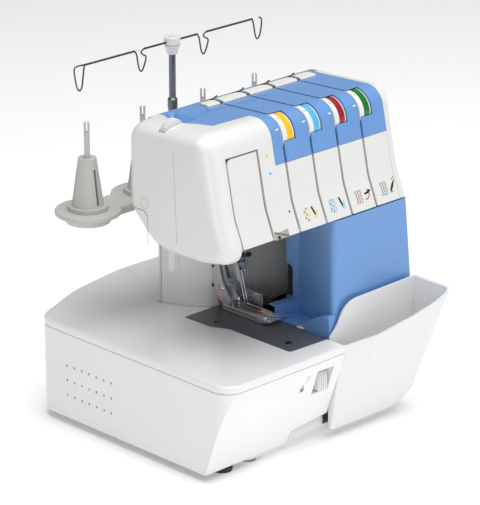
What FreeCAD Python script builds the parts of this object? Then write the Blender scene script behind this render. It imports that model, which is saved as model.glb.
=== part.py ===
import FreeCAD, Part
import math
import os

V = FreeCAD.Vector

# Serger overlock machine, in millimetres. X points to the machine's right end, Y to its rear and Z up.
# The origin is the middle of the footprint, on the surface that the machine stands on.

# Driving dimensions
BED_Z = 100.0            # sewing surface above the floor
WALL = 2.5               # moulded casing walls
FIT = 0.05               # radial running clearance of shafts and pins
LEFT_X = -145.5          # left face of the extension table
HEAD_LEFT = -114.0       # left face of the head
END_X = 122.0            # right end of the casing
REAR_Y = 68.0            # rear face of the casing
TOP_Z = 306.0            # top of the casing at its rear edge
FRONT_TOP = 311.0        # where the rising top would meet the front
CHANNEL = (2.5, 14.5)    # channel across the top, which holds the thread guides
JOINT_Y = 24.5           # joint between the top and the rear shell
WHEEL = (-96.5, -12.0, 301.6)  # presser pressure wheel
LIFT_Y = 14.0            # cross shaft of the presser lifter
LIFT_Z = 222.0
WALL_Y = 22.0            # wall behind the needle
FLANK = [(-12.0, WALL_Y, 22), (-29.0, 40.0, 14), (-39.8, 64.3, 0)]  # its curved left flank
PANEL_Z = 208.0          # lower edge of the threading panels
BAND_Z = 270.0           # lower edge of the blue top band
NEEDLE_X = 6.0           # needle bar
NEEDLE_Y = -5.0
TILT = math.radians(15.8)  # needle bar and presser bar lean back by this angle
PRESSER_X = -4.5         # presser bar
PRESSER_Y = 4.0
SLOTS = [-19.0, 15.5, 49.0, 82.0]   # threading slots in the front
SLOT_W = 2.5
DIAL_Y = -56.0           # axis of the four tension dials
DIAL_Z = 290.3
DIAL_R = 19.3
DIAL_W = 14.6
DIAL_X = 0.6             # left face of each dial, right of its slot's middle
SHAFT_Y = 40.0           # main shaft and handwheel
SHAFT_Z = 140.0
MOTOR_Y = 29.0
MOTOR_Z = 52.0
HAND_R = 37.0
SWITCH_Y = 5.0           # power switch in the right end
SWITCH_Z = 41.0
STAND_Y = 88.0           # row of spool pins
STAND_Z = 206.0          # top of the spool tray
PINS = [-110.0, -40.0, 38.0, 107.0]
PIN_ROOT_R = 3.0
POLE_X = -1.5            # thread antenna
POLE_Y = 88.0
BAR_Z = 345.0            # guide bar on top of the antenna
BIN_RIGHT = 123.0
COVER_TOP = 206.5        # top edge of the looper cover

os.makedirs("parts", exist_ok=True)


def box(x0, x1, y0, y1, z0, z1):
    return Part.makeBox(x1 - x0, y1 - y0, z1 - z0, V(x0, y0, z0))


def rod(start, end, radius):
    line = end - start
    return Part.makeCylinder(radius, line.Length, start, line)


def cone(start, end, r_start, r_end):
    line = end - start
    return Part.makeCone(r_start, r_end, line.Length, start, line)


def join(shapes):
    whole = shapes[0]
    for shape in shapes[1:]:
        whole = whole.fuse(shape)
    return whole.removeSplitter()


def cut(shape, tools):
    for tool in tools:
        shape = shape.cut(tool)
    return shape


def place(plane, a, b, c):
    """Point of a drawing plane: 'xy' at height c, 'xz' at depth c, or 'yz' at station c."""
    if plane == "xy":
        return V(a, b, c)
    if plane == "xz":
        return V(a, c, b)
    return V(c, a, b)


def outline(corners, plane="xy", level=0.0):
    """Closed wire through corners (a, b, radius), each rounded with an arc."""
    count = len(corners)
    edges = []
    ends = []
    for i in range(count):
        before = place(plane, *corners[i - 1][:2], level)
        here = place(plane, *corners[i][:2], level)
        after = place(plane, *corners[(i + 1) % count][:2], level)
        radius = corners[i][2]
        to_before = (before - here).normalize()
        to_after = (after - here).normalize()
        if radius <= 0:
            ends.append((here, here))
            continue
        half = to_before.getAngle(to_after) / 2
        reach = radius / math.tan(half)
        middle = (to_before + to_after).normalize()
        centre = here + middle * (radius / math.sin(half))
        start = here + to_before * reach
        end = here + to_after * reach
        edges.append(Part.Arc(start, centre - middle * radius, end).toShape())
        ends.append((start, end))
    for i in range(count):
        start = ends[i][1]
        end = ends[(i + 1) % count][0]
        if (end - start).Length > 1e-6:
            edges.append(Part.makeLine(start, end))
    return Part.Wire(Part.__sortEdges__(edges))


def extrude(corners, plane, low, high):
    """Solid of a rounded outline from low to high across its plane."""
    direction = {"xy": V(0, 0, high - low), "xz": V(0, high - low, 0), "yz": V(high - low, 0, 0)}[plane]
    return Part.Face(outline(corners, plane, low)).extrude(direction)


def strip(points, thickness):
    """Closed outline of a bent strip: points (a, b, radius), thickened to the left of its direction."""
    inner = []
    for i in range(len(points)):
        a, b, radius = points[i]
        normals = []
        for j, k in ((i - 1, i), (i, i + 1)):
            if j < 0 or k >= len(points):
                continue
            da = points[k][0] - points[j][0]
            db = points[k][1] - points[j][1]
            size = math.hypot(da, db)
            normals.append((-db / size, da / size))
        na = sum(n[0] for n in normals)
        nb = sum(n[1] for n in normals)
        scale = thickness * len(normals) / (na * na + nb * nb)
        turn = 0.0
        if len(normals) == 2:
            turn = normals[0][0] * normals[1][1] - normals[0][1] * normals[1][0]
        inner_radius = radius
        if radius > 0:
            inner_radius = max(0.0, radius - math.copysign(thickness, turn))
        inner.append((a + na * scale, b + nb * scale, inner_radius))
    return list(points) + inner[::-1]


def grown(corners, amount):
    """Closed outline (counter-clockwise) moved outwards by amount, with mitred corners."""
    count = len(corners)
    moved = []
    for i in range(count):
        a, b, radius = corners[i]
        before = corners[i - 1]
        after = corners[(i + 1) % count]
        into = (a - before[0], b - before[1])
        out = (after[0] - a, after[1] - b)
        into_size = math.hypot(*into)
        out_size = math.hypot(*out)
        n1 = (into[1] / into_size, -into[0] / into_size)
        n2 = (out[1] / out_size, -out[0] / out_size)
        total = (n1[0] + n2[0], n1[1] + n2[1])
        scale = 2 * amount / (total[0] ** 2 + total[1] ** 2)
        turn = into[0] * out[1] - into[1] * out[0]
        change = amount if turn > 0 else -amount
        new_radius = max(0.3, radius + change) if radius > 0 else 0
        moved.append((a + total[0] * scale, b + total[1] * scale, new_radius))
    return moved


def loft(low_corners, low, high_corners, high):
    """Solid between two horizontal outlines with the same number of corners."""
    return Part.makeLoft([outline(low_corners, "xy", low), outline(high_corners, "xy", high)], True, True)


def soften(shape, radius, test):
    """Rounds the edges whose middle point passes the test."""
    chosen = []
    for edge in shape.Edges:
        middle = edge.valueAt((edge.FirstParameter + edge.LastParameter) / 2)
        if test(middle):
            chosen.append(edge)
    try:
        rounded = shape.makeFillet(radius, chosen)
    except Part.OCCError:
        print("left sharp:", radius, len(chosen))
        return shape
    return rounded


def save(name, shape):
    solids = shape.Solids
    whole = solids[0] if len(solids) == 1 else Part.makeCompound(solids)
    if not whole.isValid():
        print("not valid:", name)
    whole.exportStep("parts/" + name + ".step")
    bounds = whole.optimalBoundingBox()
    print(f"{name:26s} {len(solids):3d} x {bounds.XMin:7.1f} {bounds.XMax:7.1f} y {bounds.YMin:7.1f} "
          f"{bounds.YMax:7.1f} z {bounds.ZMin:6.1f} {bounds.ZMax:6.1f}")


def on_needle_line(z, x=NEEDLE_X, y=NEEDLE_Y):
    """Point at height z on the leaning line through (x, y) at bed height."""
    return V(x, y + (z - BED_Z) * math.tan(TILT), z)


def needle_rod(z0, z1, radius, x=NEEDLE_X, y=NEEDLE_Y):
    return rod(on_needle_line(z0, x, y), on_needle_line(z1, x, y), radius)


# --- casing profile ---------------------------------------------------------

def top_height(y):
    """Height of the casing's top, which rises from its rear edge at y = 24 towards the front."""
    return TOP_Z + (24 - y) * (FRONT_TOP - TOP_Z) / 95


def upper_profile(inset, bottom):
    """Side outline (y, z) of the upper casing: leaning front, flat top and sloping rear."""
    lean = 12.0 / 28.0
    corners = [
        (-99 - (PANEL_Z - bottom) * lean, bottom, 0), (REAR_Y, bottom, 0), (REAR_Y, 240, 30), (60, 280, 12),
        (24, TOP_Z, 6), (-71, FRONT_TOP, 20), (-87, 236, 60),
    ]
    return grown(corners, -inset)


def skin(x0, x1, z0, z1, y0=-130, y1=90, inset=0.0, thickness=WALL):
    """Piece of the upper casing's wall inside a box."""
    outer = extrude(upper_profile(inset, 150), "yz", x0, x1)
    inner = extrude(upper_profile(inset + thickness, 149), "yz", x0, x1)
    return outer.cut(inner).common(box(x0, x1, y0, y1, z0, z1))


def head_profile(inset):
    """Side outline (y, z) of the closed left end of the head."""
    corners = [
        (-104, 197, 16), (-60, 189, 40), (-4, 188.5, 46), (32, 222, 24), (32, top_height(32), 17),
        (-71, FRONT_TOP, 20), (-87, 236, 60),
    ]
    return grown(corners, -inset)


def dial_windows():
    """Windows of the top cover, with room for the dials that turn in them."""
    cuts = []
    for x in SLOTS:
        left = x - SLOT_W / 2
        right = x + DIAL_X + DIAL_W + 1.5
        cuts.append(box(left, right, -95, DIAL_Y, 289.5, 320))
        cuts.append(rod(V(left, DIAL_Y, DIAL_Z), V(right, DIAL_Y, DIAL_Z), DIAL_R + 0.5))
    return cuts


def slot_cuts():
    return [box(x - SLOT_W / 2, x + SLOT_W / 2, -130, CHANNEL[0] - 1.5, PANEL_Z - 5, 320) for x in SLOTS]


# --- structure ----------------------------------------------------------------

def base_plate():
    """Moulded base under the whole machine, which shows as a low strip under the table."""
    plate = extrude([(-92, -103, 8), (116, -103, 8), (116, 64, 8), (-92, 64, 8)], "xy", 4, 12)
    return soften(plate, 1.5, lambda p: p.z < 4.1)


def machine_feet():
    places = [(-78, -90), (104, -90), (104, 52), (-78, 52)]
    return Part.makeCompound([cone(V(x, y, 0), V(x, y, 4), 8, 9.5) for x, y in places])


def head_bracket():
    """Bracket inside the head with the bearings of the presser lifter and of the pressure wheel."""
    x, y, z = WHEEL
    low = LIFT_Z - 8
    high = LIFT_Z + 10
    plates = [box(-60, -56, 6, 28, low, high), box(-40, -36, 6, 28, low, high)]
    ties = [
        box(-60, -32, 24, 28, low, high),
        box(-36, -32, 24, 56, low, high),
        box(-36, -14, 52, 56, low, high),
    ]
    posts = [box(x - 3.5, x + 3.5, side, side + 4, 282, 302) for side in (y - 13, y + 9)]
    beams = [
        box(x - 3.5, -56, y - 13, y + 13, 280, 284),
        box(-60, -56, 0, 14, high - 6, 284),
        box(-60, -56, -2, 0, 280, 284),
    ]
    inside = join([extrude(head_profile(WALL + 0.4), "yz", -100, -40.6), box(-40.6, 0, 0, 60, 200, 240)])
    holes = [
        rod(V(-80, LIFT_Y, LIFT_Z), V(-20, LIFT_Y, LIFT_Z), 3 + FIT),
        rod(V(x, y - 20, z), V(x, y + 20, z), 2 + FIT),
    ]
    return cut(join(plates + ties + posts + beams).common(inside), holes)


def arm_frame():
    """Cast frame: slab, two webs, rear arm, bar guides, looper and knife brackets, and the head's bracket."""
    left_web = extrude([(29.2, 12, 0), (60, 12, 0), (60, 240, 8), (29.2, 240, 8)], "yz", -14, -9)
    right_web = extrude([(-10, 20, 0), (60, 20, 0), (60, 240, 8), (26, 240, 8), (26, 84, 8), (-10, 84, 8)], "yz", 88, 96)
    knife_slide = box(10.7, 21.5, 0.8, 17, 20, 90).cut(box(13.2, 18.2, 3.7, 12.3, 20, 91))
    frame = join([
        box(-18, 108, -20, 20, 12, 20),
        box(-8, 108, 20, 60, 12, 20),
        box(-14, -8, 28, 60, 12, 20),
        left_web,
        right_web,
        box(-14, 96, 50, 60, 205, 240),
        box(-14, 14, 18, 52, 214, 222),
        box(-14, 14, 28, 52, 234, 240),
        box(28, 40, -20, -14, 20, 68),
        box(-26, -15, 11, 15.5, 14.5, 60),
        box(-26, -12, 11, 15.5, 14.5, 20),
        knife_slide,
        rod(V(34, -30, 60), V(34, -20, 60), 3),
        rod(V(-20, 2, 52), V(-20, 11, 52), 3),
    ])
    holes = [
        needle_rod(150, 290, 3.6 + FIT),
        needle_rod(150, 290, 3.0 + FIT, PRESSER_X, PRESSER_Y),
        rod(V(-30, SHAFT_Y, SHAFT_Z), V(130, SHAFT_Y, SHAFT_Z), 9),
        rod(V(80, MOTOR_Y, MOTOR_Z), V(100, MOTOR_Y, MOTOR_Z), 9),
    ]
    return join([cut(frame, holes), head_bracket()])


def bed_casing():
    """Free arm under the needle plate, open at its right side, with the plate's steel-faced ledge."""
    outer = extrude([(-41, -106, 4), (5.5, -106, 2), (5.5, 20, 2), (-41, 20, 8)], "xy", 12, 97)
    inner = extrude([(-38.5, -103.5, 2), (10, -103.5, 0), (10, 17.5, 0), (-38.5, 17.5, 6)], "xy", 14.5, 100)
    ledges = [box(-38.5, 5, -103.5, -86, 92, 97), box(-38.5, -32, -86, 17.5, 92, 97)]
    screws = [rod(V(x, y, 90), V(x, y, 110), 3.1) for x, y in ((-36.5, -8), (-27, -92))]
    return cut(join([outer.cut(inner)] + ledges), screws + [box(-18, 6, -20, 20.1, 11, 20)])


def column_cover():
    """Wall behind the needle: long flat front, and a curved flank that goes down to the base."""
    wall = extrude(strip([(87.5, WALL_Y, 0)] + FLANK, -WALL), "xy", 87, 204)
    wall = wall.cut(box(-10, 13, 15, 32, 150, 210)).cut(box(-10, 1, 15, 32, 138, 151))
    foot = extrude(strip([(-29, 40, 0), FLANK[2]], -WALL), "xy", 12, 87)
    corner = extrude(strip([(-12, WALL_Y, 0), (-29, 40, 0)], -WALL), "xy", 12, 87)
    return join([wall, foot, corner])


def rear_cover():
    """Rear shell with air slots, the power inlet opening and the holes for the cone stand."""
    x0 = -40
    x1 = END_X - WALL
    corners = [(REAR_Y, 12, 0), (REAR_Y, 240, 30), (60, 280, 12), (JOINT_Y, TOP_Z - 0.4, 0), (JOINT_Y, 12, 0)]
    outer = extrude(corners, "yz", x0, x1)
    room = [
        (REAR_Y - WALL, 0, 0), (REAR_Y - WALL, 239.5, 27.5), (57.9, 278.4, 9.5), (26, TOP_Z - 3.2, 4),
        (10, TOP_Z - 3.2, 0), (10, 0, 0),
    ]
    shell = outer.cut(extrude(room, "yz", x0 + WALL, x1 + 5))
    shell = shell.cut(box(x0 - 1, x0 + WALL + 0.1, 0, 65.5, 11, 204.5))
    shell = shell.cut(box(x0 - 1, x0 + WALL + 0.1, 0, 32.5, 204, 320))
    inlet = box(59.5, 88.5, 60, 80, 33.5, 56.5)
    vents = [box(20 + 8 * i, 23 + 8 * i, 60, 80, 222, 236) for i in range(6)]
    return cut(shell, [inlet] + vents)


def right_end_cover():
    """Right end: closed wall with a rounded rim that carries the casing's profile."""
    upper = extrude(upper_profile(0, PANEL_Z), "yz", END_X - 8, END_X)
    upper = soften(upper, 3.5, lambda p: p.x > END_X - 0.01 and p.z > PANEL_Z + 1)
    upper = upper.cut(extrude(upper_profile(WALL, PANEL_Z - 1), "yz", END_X - 9, END_X - WALL))
    upper = upper.cut(box(END_X - 9, END_X - WALL, JOINT_Y - 10, 90, PANEL_Z - 1, 320))
    wall = [
        (REAR_Y, 12, 0), (REAR_Y, PANEL_Z, 0), (-95.6, PANEL_Z, 0), (-107.2, 97, 0), (-107.2, 30, 0), (-98, 12, 0),
    ]
    lower = extrude(wall, "yz", END_X - WALL, END_X)
    holes = [
        rod(V(100, SHAFT_Y, SHAFT_Z), V(140, SHAFT_Y, SHAFT_Z), 9),
        rod(V(100, -20, 84), V(140, -20, 84), 4 + FIT),
        rod(V(100, -20, 54), V(140, -20, 54), 4 + FIT),
        box(100, 140, SWITCH_Y - 9, SWITCH_Y + 9, SWITCH_Z - 16, SWITCH_Z + 16),
    ]
    return cut(join([upper, lower]), holes)


def head_cover():
    """White shell of the head, with the recess for the needle-thread cover in its front."""
    steps = [(0.0, 12.0), (1.0, 8.6), (3.0, 5.6), (7.0, 2.6), (12.0, 0.7), (17.0, 0.0)]
    rounds = []
    hollow = []
    for depth, inset in steps:
        rounds.append(outline(head_profile(inset), "yz", HEAD_LEFT + depth))
        hollow.append(outline(head_profile(inset + WALL), "yz", HEAD_LEFT + depth + WALL))
    end = Part.makeLoft(rounds, True, True)
    room = Part.makeLoft(hollow, True, True)
    joint_x = HEAD_LEFT + 17
    front_x = SLOTS[0] - SLOT_W / 2
    end = end.cut(room).common(box(HEAD_LEFT - 1, joint_x, -130, 60, 150, 320))
    shell = extrude(head_profile(0), "yz", joint_x, -41)
    shell = shell.cut(extrude(head_profile(WALL), "yz", joint_x - 1, -40))
    jaw = shell.common(box(joint_x, -92, -130, 60, 150, 320))
    rear = shell.common(box(-92.1, -41, -40, 60, 150, 320))
    front = skin(-92.1, front_x, PANEL_Z, 320, -130, JOINT_Y)
    front = front.cut(box(-92, -51, -130, -60, 190, 289))
    holes = [
        box(-32.5, 0, -130, 60, BAND_Z, 320),
        scoop_plan(0.2),
        wheel_slot(),
        channel_room(),
        box(-75, -64, 4, 36, 150, 227),
    ]
    return cut(join([end, jaw, rear, front]), holes)


def scoop_plan(margin):
    """Column over the blue part of the top, left of the first slot."""
    corners = [
        (-34, -46, 0), (-26, -44, 0), (-26, 30, 0), (-80, 30, 0), (-80, 16, 0), (-88, -2, 8), (-86, -18.6, 4),
        (-81, -28, 8), (-76.5, -44, 0),
    ]
    return extrude(grown(corners, margin), "xy", 297, 320)


def wheel_slot():
    return box(WHEEL[0] - 13, WHEEL[0] + 12.7, WHEEL[1] - 4.2, WHEEL[1] + 4.2, 285, 320)


def channel_room():
    return box(-37.5, 105, CHANNEL[0], CHANNEL[1], 290, 320)


def needle_thread_cover():
    """Cover over the needle thread's path, set a little into the front."""
    panel = skin(-90, -53, PANEL_Z + 0.5, 287.5, -130, -50, inset=0.6, thickness=1.9)
    corner = box(-91, -84, -130, -50, 281.5, 289)
    keep = rod(V(-84, -130, 281.5), V(-84, -50, 281.5), 6)
    return panel.cut(corner.cut(keep))


def front_panels():
    """Four threading panels below the blue band, one to the right of each slot."""
    edges = SLOTS + [END_X - 8.3 + SLOT_W / 2]
    panels = []
    for i in range(4):
        panels.append(skin(edges[i] + SLOT_W / 2, edges[i + 1] - SLOT_W / 2, PANEL_Z, BAND_Z - 0.3, -130, -60))
    return Part.makeCompound(panels)


def top_cover():
    """Blue band over the top, with the threading slots, dial windows and a finger scoop."""
    band = skin(-32.3, END_X - 8.3, BAND_Z, 320, -130, JOINT_Y)
    left = skin(-92, -32.3, 297, 320, -130, JOINT_Y).common(scoop_plan(0.0))
    cover = cut(join([band, left]), slot_cuts() + dial_windows() + [channel_room()])
    dish = Part.makeLoft([
        outline([(-82, -12, 2), (-73, -11, 2), (-73, 12, 2), (-80, 12, 2)], "xy", 301.0),
        outline([(-89, -19, 3), (-62, -16, 3), (-68, 17, 3), (-83, 17, 3)], "xy", 308.8),
    ], True, True)
    tray = Part.makeLoft([
        outline([(-84, -14, 2), (-71, -13, 2), (-71, 14, 2), (-82, 14, 2)], "xy", 299.0),
        outline([(-87, -17, 3), (-64, -15, 3), (-69, 16, 3), (-82, 16, 3)], "xy", 305.0),
    ], True, True)
    return cut(join([cover, tray.common(scoop_plan(0.0))]), [dish, wheel_slot()])


def tension_bracket():
    """Black inner frame behind the front, which closes the slots and holds the dial spindles."""
    x0 = -31
    x1 = 113
    main = skin(x0, x1, PANEL_Z + 2, 320, -130, CHANNEL[0] - 0.5, inset=WALL + 0.1, thickness=2)
    main = main.cut(box(x0 - 1, x0 + 2, -100, 20, 294, 320))
    backing = skin(-91.5, x0, PANEL_Z + 2, 289, -130, -60, inset=WALL + 0.1, thickness=2)
    rooms = []
    stands = []
    for x in SLOTS:
        left = x - SLOT_W / 2
        right = x + DIAL_X + DIAL_W + 1.5
        rooms.append(rod(V(left, DIAL_Y, DIAL_Z), V(right, DIAL_Y, DIAL_Z), DIAL_R + 1.2))
        stands.append(box(left - 6.5, left - 4, -68, -44, 250, 300))
        stands.append(box(right + 3, right + 5.5, -68, -44, 250, 300))
    tie = box(x0, x1, -86, -44, 247.5, 250)
    rail = box(x0 + 3, x1 - 8.5, CHANNEL[0] - 6, CHANNEL[1] - 0.1, TOP_Z - 9, TOP_Z - 3)
    frame = join([main.cut(Part.makeCompound(rooms)), backing, tie, rail] + stands)
    frame = frame.common(extrude(upper_profile(WALL + 0.1, 150), "yz", -95, x1))
    holes = [rod(V(x - 10, DIAL_Y, DIAL_Z), V(x + 25, DIAL_Y, DIAL_Z), 3) for x in SLOTS]
    return cut(frame, holes)


def tension_spindles():
    """Spindle and a pair of tension discs for each thread."""
    sets = []
    for x in SLOTS:
        pieces = [rod(V(x - 7.75, DIAL_Y, DIAL_Z), V(x + DIAL_X + DIAL_W + 7, DIAL_Y, DIAL_Z), 3)]
        for middle in (x - 0.9, x + 0.9):
            pieces.append(rod(V(middle - 0.5, DIAL_Y, DIAL_Z), V(middle + 0.5, DIAL_Y, DIAL_Z), 10))
        sets.append(join(pieces))
    return Part.makeCompound(sets)


def tension_dial(index):
    """Hollow dial with a recess for the tension discs in its left face."""
    x = SLOTS[index] + DIAL_X
    end = x + DIAL_W
    wheel = rod(V(x, DIAL_Y, DIAL_Z), V(end, DIAL_Y, DIAL_Z), DIAL_R)
    wheel = soften(wheel, 0.9, lambda p: True)
    discs = rod(V(x - 1, DIAL_Y, DIAL_Z), V(x + 1.6, DIAL_Y, DIAL_Z), 11)
    bore = rod(V(x - 1, DIAL_Y, DIAL_Z), V(end + 1, DIAL_Y, DIAL_Z), 3 + FIT)
    rim = rod(V(x + 4, DIAL_Y, DIAL_Z), V(end + 1, DIAL_Y, DIAL_Z), DIAL_R - 3)
    hub = rod(V(x + 4, DIAL_Y, DIAL_Z), V(end + 1, DIAL_Y, DIAL_Z), 6)
    return cut(wheel, [discs, rim.cut(hub), bore])


# --- top fittings -----------------------------------------------------------

def rear_guides():
    """Cream thread guides in the channel across the top, between the threading slots."""
    guides = []
    y0 = CHANNEL[0] + 0.2
    y1 = CHANNEL[1] - 0.2
    ends = [-36.9] + SLOTS + [104.5]
    for i in range(5):
        x0 = ends[i] + (2.2 if i > 0 else 0)
        x1 = ends[i + 1] - (2.2 if i < 4 else 0)
        plan = [(x0, y0, 1), (x1, y0, 1), (x1, y1 - 2.5, 1), (x1 - 4, y1, 1), (x0, y1, 1)]
        block = extrude(plan, "xy", TOP_Z - 3, TOP_Z + 2.9)
        slope = [(y0 - 1, TOP_Z + 1.2, 0), (y0 + 2.4, TOP_Z + 3, 0), (y0 - 1, TOP_Z + 3, 0)]
        guides.append(block.cut(extrude(slope, "yz", x0 - 1, x1 + 1)))
    return Part.makeCompound(guides)


def pressure_thumbwheel():
    """Ribbed wheel for the presser foot pressure, standing in a slot of the head's top."""
    x, y, z = WHEEL
    wheel = rod(V(x, y - 3.5, z), V(x, y + 3.5, z), 12)
    wheel = soften(wheel, 0.8, lambda p: True)
    flutes = []
    for i in range(30):
        angle = math.radians(12 * i)
        across = x + 12.4 * math.cos(angle)
        up = z + 12.4 * math.sin(angle)
        flutes.append(rod(V(across, y - 10, up), V(across, y + 10, up), 0.9))
    return join([cut(wheel, flutes), rod(V(x, y - 12, z), V(x, y + 12, z), 2)])


def cutter_cover():
    """Flap over the thread cutter at the lower rear of the head's left face."""
    plan = [(2.5, 190, 0), (40, 190, 0), (40, 225, 0), (8, 225, 4), (2.5, 221, 4)]
    flap = extrude(plan, "yz", HEAD_LEFT - 0.9, HEAD_LEFT)
    return flap.common(extrude(head_profile(12.4), "yz", HEAD_LEFT - 2, HEAD_LEFT + 1))


# --- drive ---------------------------------------------------------------------

def main_shaft():
    """Main shaft with the four eccentrics that drive the needle bar, loopers, knife and feed."""
    shaft = rod(V(-16, SHAFT_Y, SHAFT_Z), V(134, SHAFT_Y, SHAFT_Z), 6)
    discs = []
    for x, offset in ((14, 3), (30, -3), (46, 3), (62, -3)):
        discs.append(rod(V(x, SHAFT_Y + offset, SHAFT_Z), V(x + 8, SHAFT_Y + offset, SHAFT_Z), 11))
    return join([shaft] + discs)


def shaft_bearings():
    rings = []
    for x0, x1 in ((-14, -9), (88, 96)):
        ring = rod(V(x0, SHAFT_Y, SHAFT_Z), V(x1, SHAFT_Y, SHAFT_Z), 9)
        rings.append(ring.cut(rod(V(-20, SHAFT_Y, SHAFT_Z), V(140, SHAFT_Y, SHAFT_Z), 6 + FIT)))
    return Part.makeCompound(rings)


def drive_pulley():
    wheel = rod(V(104, SHAFT_Y, SHAFT_Z), V(114, SHAFT_Y, SHAFT_Z), 23)
    groove = rod(V(105.5, SHAFT_Y, SHAFT_Z), V(112.5, SHAFT_Y, SHAFT_Z), 40)
    core = rod(V(105.5, SHAFT_Y, SHAFT_Z), V(112.5, SHAFT_Y, SHAFT_Z), 20)
    bore = rod(V(100, SHAFT_Y, SHAFT_Z), V(120, SHAFT_Y, SHAFT_Z), 6)
    return cut(wheel, [groove.cut(core), bore])


def handwheel():
    """Dished wheel with finger flutes at the right end."""
    wheel = rod(V(125, SHAFT_Y, SHAFT_Z), V(146, SHAFT_Y, SHAFT_Z), HAND_R)
    wheel = soften(wheel, 4, lambda p: True)
    dish = cone(V(138, SHAFT_Y, SHAFT_Z), V(146.5, SHAFT_Y, SHAFT_Z), 22, 28)
    flutes = []
    for i in range(24):
        angle = math.radians(15 * i)
        y = SHAFT_Y + (HAND_R + 1.6) * math.cos(angle)
        z = SHAFT_Z + (HAND_R + 1.6) * math.sin(angle)
        flutes.append(rod(V(120, y, z), V(150, y, z), 2.6))
    bore = rod(V(120, SHAFT_Y, SHAFT_Z), V(134, SHAFT_Y, SHAFT_Z), 6)
    return cut(wheel, [dish, bore] + flutes)


def motor():
    can = rod(V(30, MOTOR_Y, MOTOR_Z), V(84, MOTOR_Y, MOTOR_Z), 24)
    can = soften(can, 3, lambda p: p.x < 31)
    boss = rod(V(84, MOTOR_Y, MOTOR_Z), V(96, MOTOR_Y, MOTOR_Z), 9)
    cradle = box(36, 78, MOTOR_Y - 14, MOTOR_Y + 14, 20, 34)
    return join([can, boss, cradle]).cut(rod(V(60, MOTOR_Y, MOTOR_Z), V(120, MOTOR_Y, MOTOR_Z), 4 + FIT))


def motor_pulley():
    """Small pulley in one piece with the motor's shaft."""
    wheel = rod(V(104, MOTOR_Y, MOTOR_Z), V(114, MOTOR_Y, MOTOR_Z), 11)
    groove = rod(V(105.5, MOTOR_Y, MOTOR_Z), V(112.5, MOTOR_Y, MOTOR_Z), 20)
    core = rod(V(105.5, MOTOR_Y, MOTOR_Z), V(112.5, MOTOR_Y, MOTOR_Z), 8)
    return join([wheel.cut(groove.cut(core)), rod(V(60.5, MOTOR_Y, MOTOR_Z), V(116, MOTOR_Y, MOTOR_Z), 4)])


def drive_belt():
    """Belt round both pulleys, a hair clear of their grooves."""
    def ring(big, small, x0, x1):
        span = math.hypot(SHAFT_Y - MOTOR_Y, SHAFT_Z - MOTOR_Z)
        base = math.atan2(MOTOR_Z - SHAFT_Z, MOTOR_Y - SHAFT_Y)
        open_angle = math.acos((big - small) / span)
        points = []
        for sign in (1, -1):
            angle = base + sign * open_angle
            across = (math.cos(angle), math.sin(angle))
            points.append((
                V(x0, SHAFT_Y + big * across[0], SHAFT_Z + big * across[1]),
                V(x0, MOTOR_Y + small * across[0], MOTOR_Z + small * across[1]),
            ))
        far_big = V(x0, SHAFT_Y - big * math.cos(base), SHAFT_Z - big * math.sin(base))
        far_small = V(x0, MOTOR_Y + small * math.cos(base), MOTOR_Z + small * math.sin(base))
        edges = [
            Part.Arc(points[0][0], far_big, points[1][0]).toShape(),
            Part.makeLine(points[1][0], points[1][1]),
            Part.Arc(points[1][1], far_small, points[0][1]).toShape(),
            Part.makeLine(points[0][1], points[0][0]),
        ]
        return Part.Face(Part.Wire(edges)).extrude(V(x1 - x0, 0, 0))
    return ring(22.3, 10.3, 106, 112).cut(ring(20.4, 8.4, 105, 113))


def power_switch():
    y0 = SWITCH_Y - 7
    y1 = SWITCH_Y + 7
    rocker = extrude([
        (y0, SWITCH_Z - 9.5, 1), (y1, SWITCH_Z - 9.5, 1), (y1, SWITCH_Z + 9.5, 1), (y0, SWITCH_Z + 9.5, 1),
    ], "yz", END_X - 7, END_X + 2.5)
    face = rod(V(END_X + 13, y0 - 5, SWITCH_Z), V(END_X + 13, y1 + 5, SWITCH_Z), 12)
    pivot = rod(V(END_X - 5, y0 - 5, SWITCH_Z), V(END_X - 5, y1 + 5, SWITCH_Z), 1.5)
    return cut(rocker, [face, pivot])


def switch_frame():
    """Frame of the power switch, snapped into the right end cover, with the rocker's pin."""
    def block(x0, x1, half_y, half_z):
        return box(x0, x1, SWITCH_Y - half_y, SWITCH_Y + half_y, SWITCH_Z - half_z, SWITCH_Z + half_z)
    wall = END_X - WALL
    parts = [block(END_X - 10, wall, 10, 17), block(wall, END_X, 9, 16), block(END_X, END_X + 1, 10, 17)]
    pin = rod(V(END_X - 5, SWITCH_Y - 8, SWITCH_Z), V(END_X - 5, SWITCH_Y + 8, SWITCH_Z), 1.5 - FIT)
    return join([join(parts).cut(block(END_X - 9, END_X + 2, 7.3, 11.4)), pin])


def power_inlet():
    shell = extrude([(60, 34, 2), (88, 34, 2), (88, 56, 2), (60, 56, 2)], "xz", REAR_Y - 14, REAR_Y)
    flange = extrude([(56, 31, 2), (92, 31, 2), (92, 59, 2), (56, 59, 2)], "xz", REAR_Y, REAR_Y + 1.5)
    room = box(63, 85, REAR_Y - 12, REAR_Y + 3, 37, 53)
    pins = [box(x, x + 2, REAR_Y - 12, REAR_Y - 2, 42, 48) for x in (67, 73, 79)]
    return join([join([shell, flange]).cut(room)] + pins)


def setting_dial(z):
    """Knurled setting dial on the right end."""
    y = -20
    knob = rod(V(END_X + 0.6, y, z), V(END_X + 9, y, z), 12)
    knob = soften(knob, 1.2, lambda p: p.x > END_X + 8)
    flutes = []
    for i in range(20):
        angle = math.radians(18 * i)
        across = y + 12.4 * math.cos(angle)
        up = z + 12.4 * math.sin(angle)
        flutes.append(rod(V(END_X - 1, across, up), V(END_X + 12, across, up), 1.1))
    stem = rod(V(END_X - 8, y, z), V(END_X + 0.6, y, z), 4)
    return join([cut(knob, flutes), stem])


# --- sewing parts -------------------------------------------------------------

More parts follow.
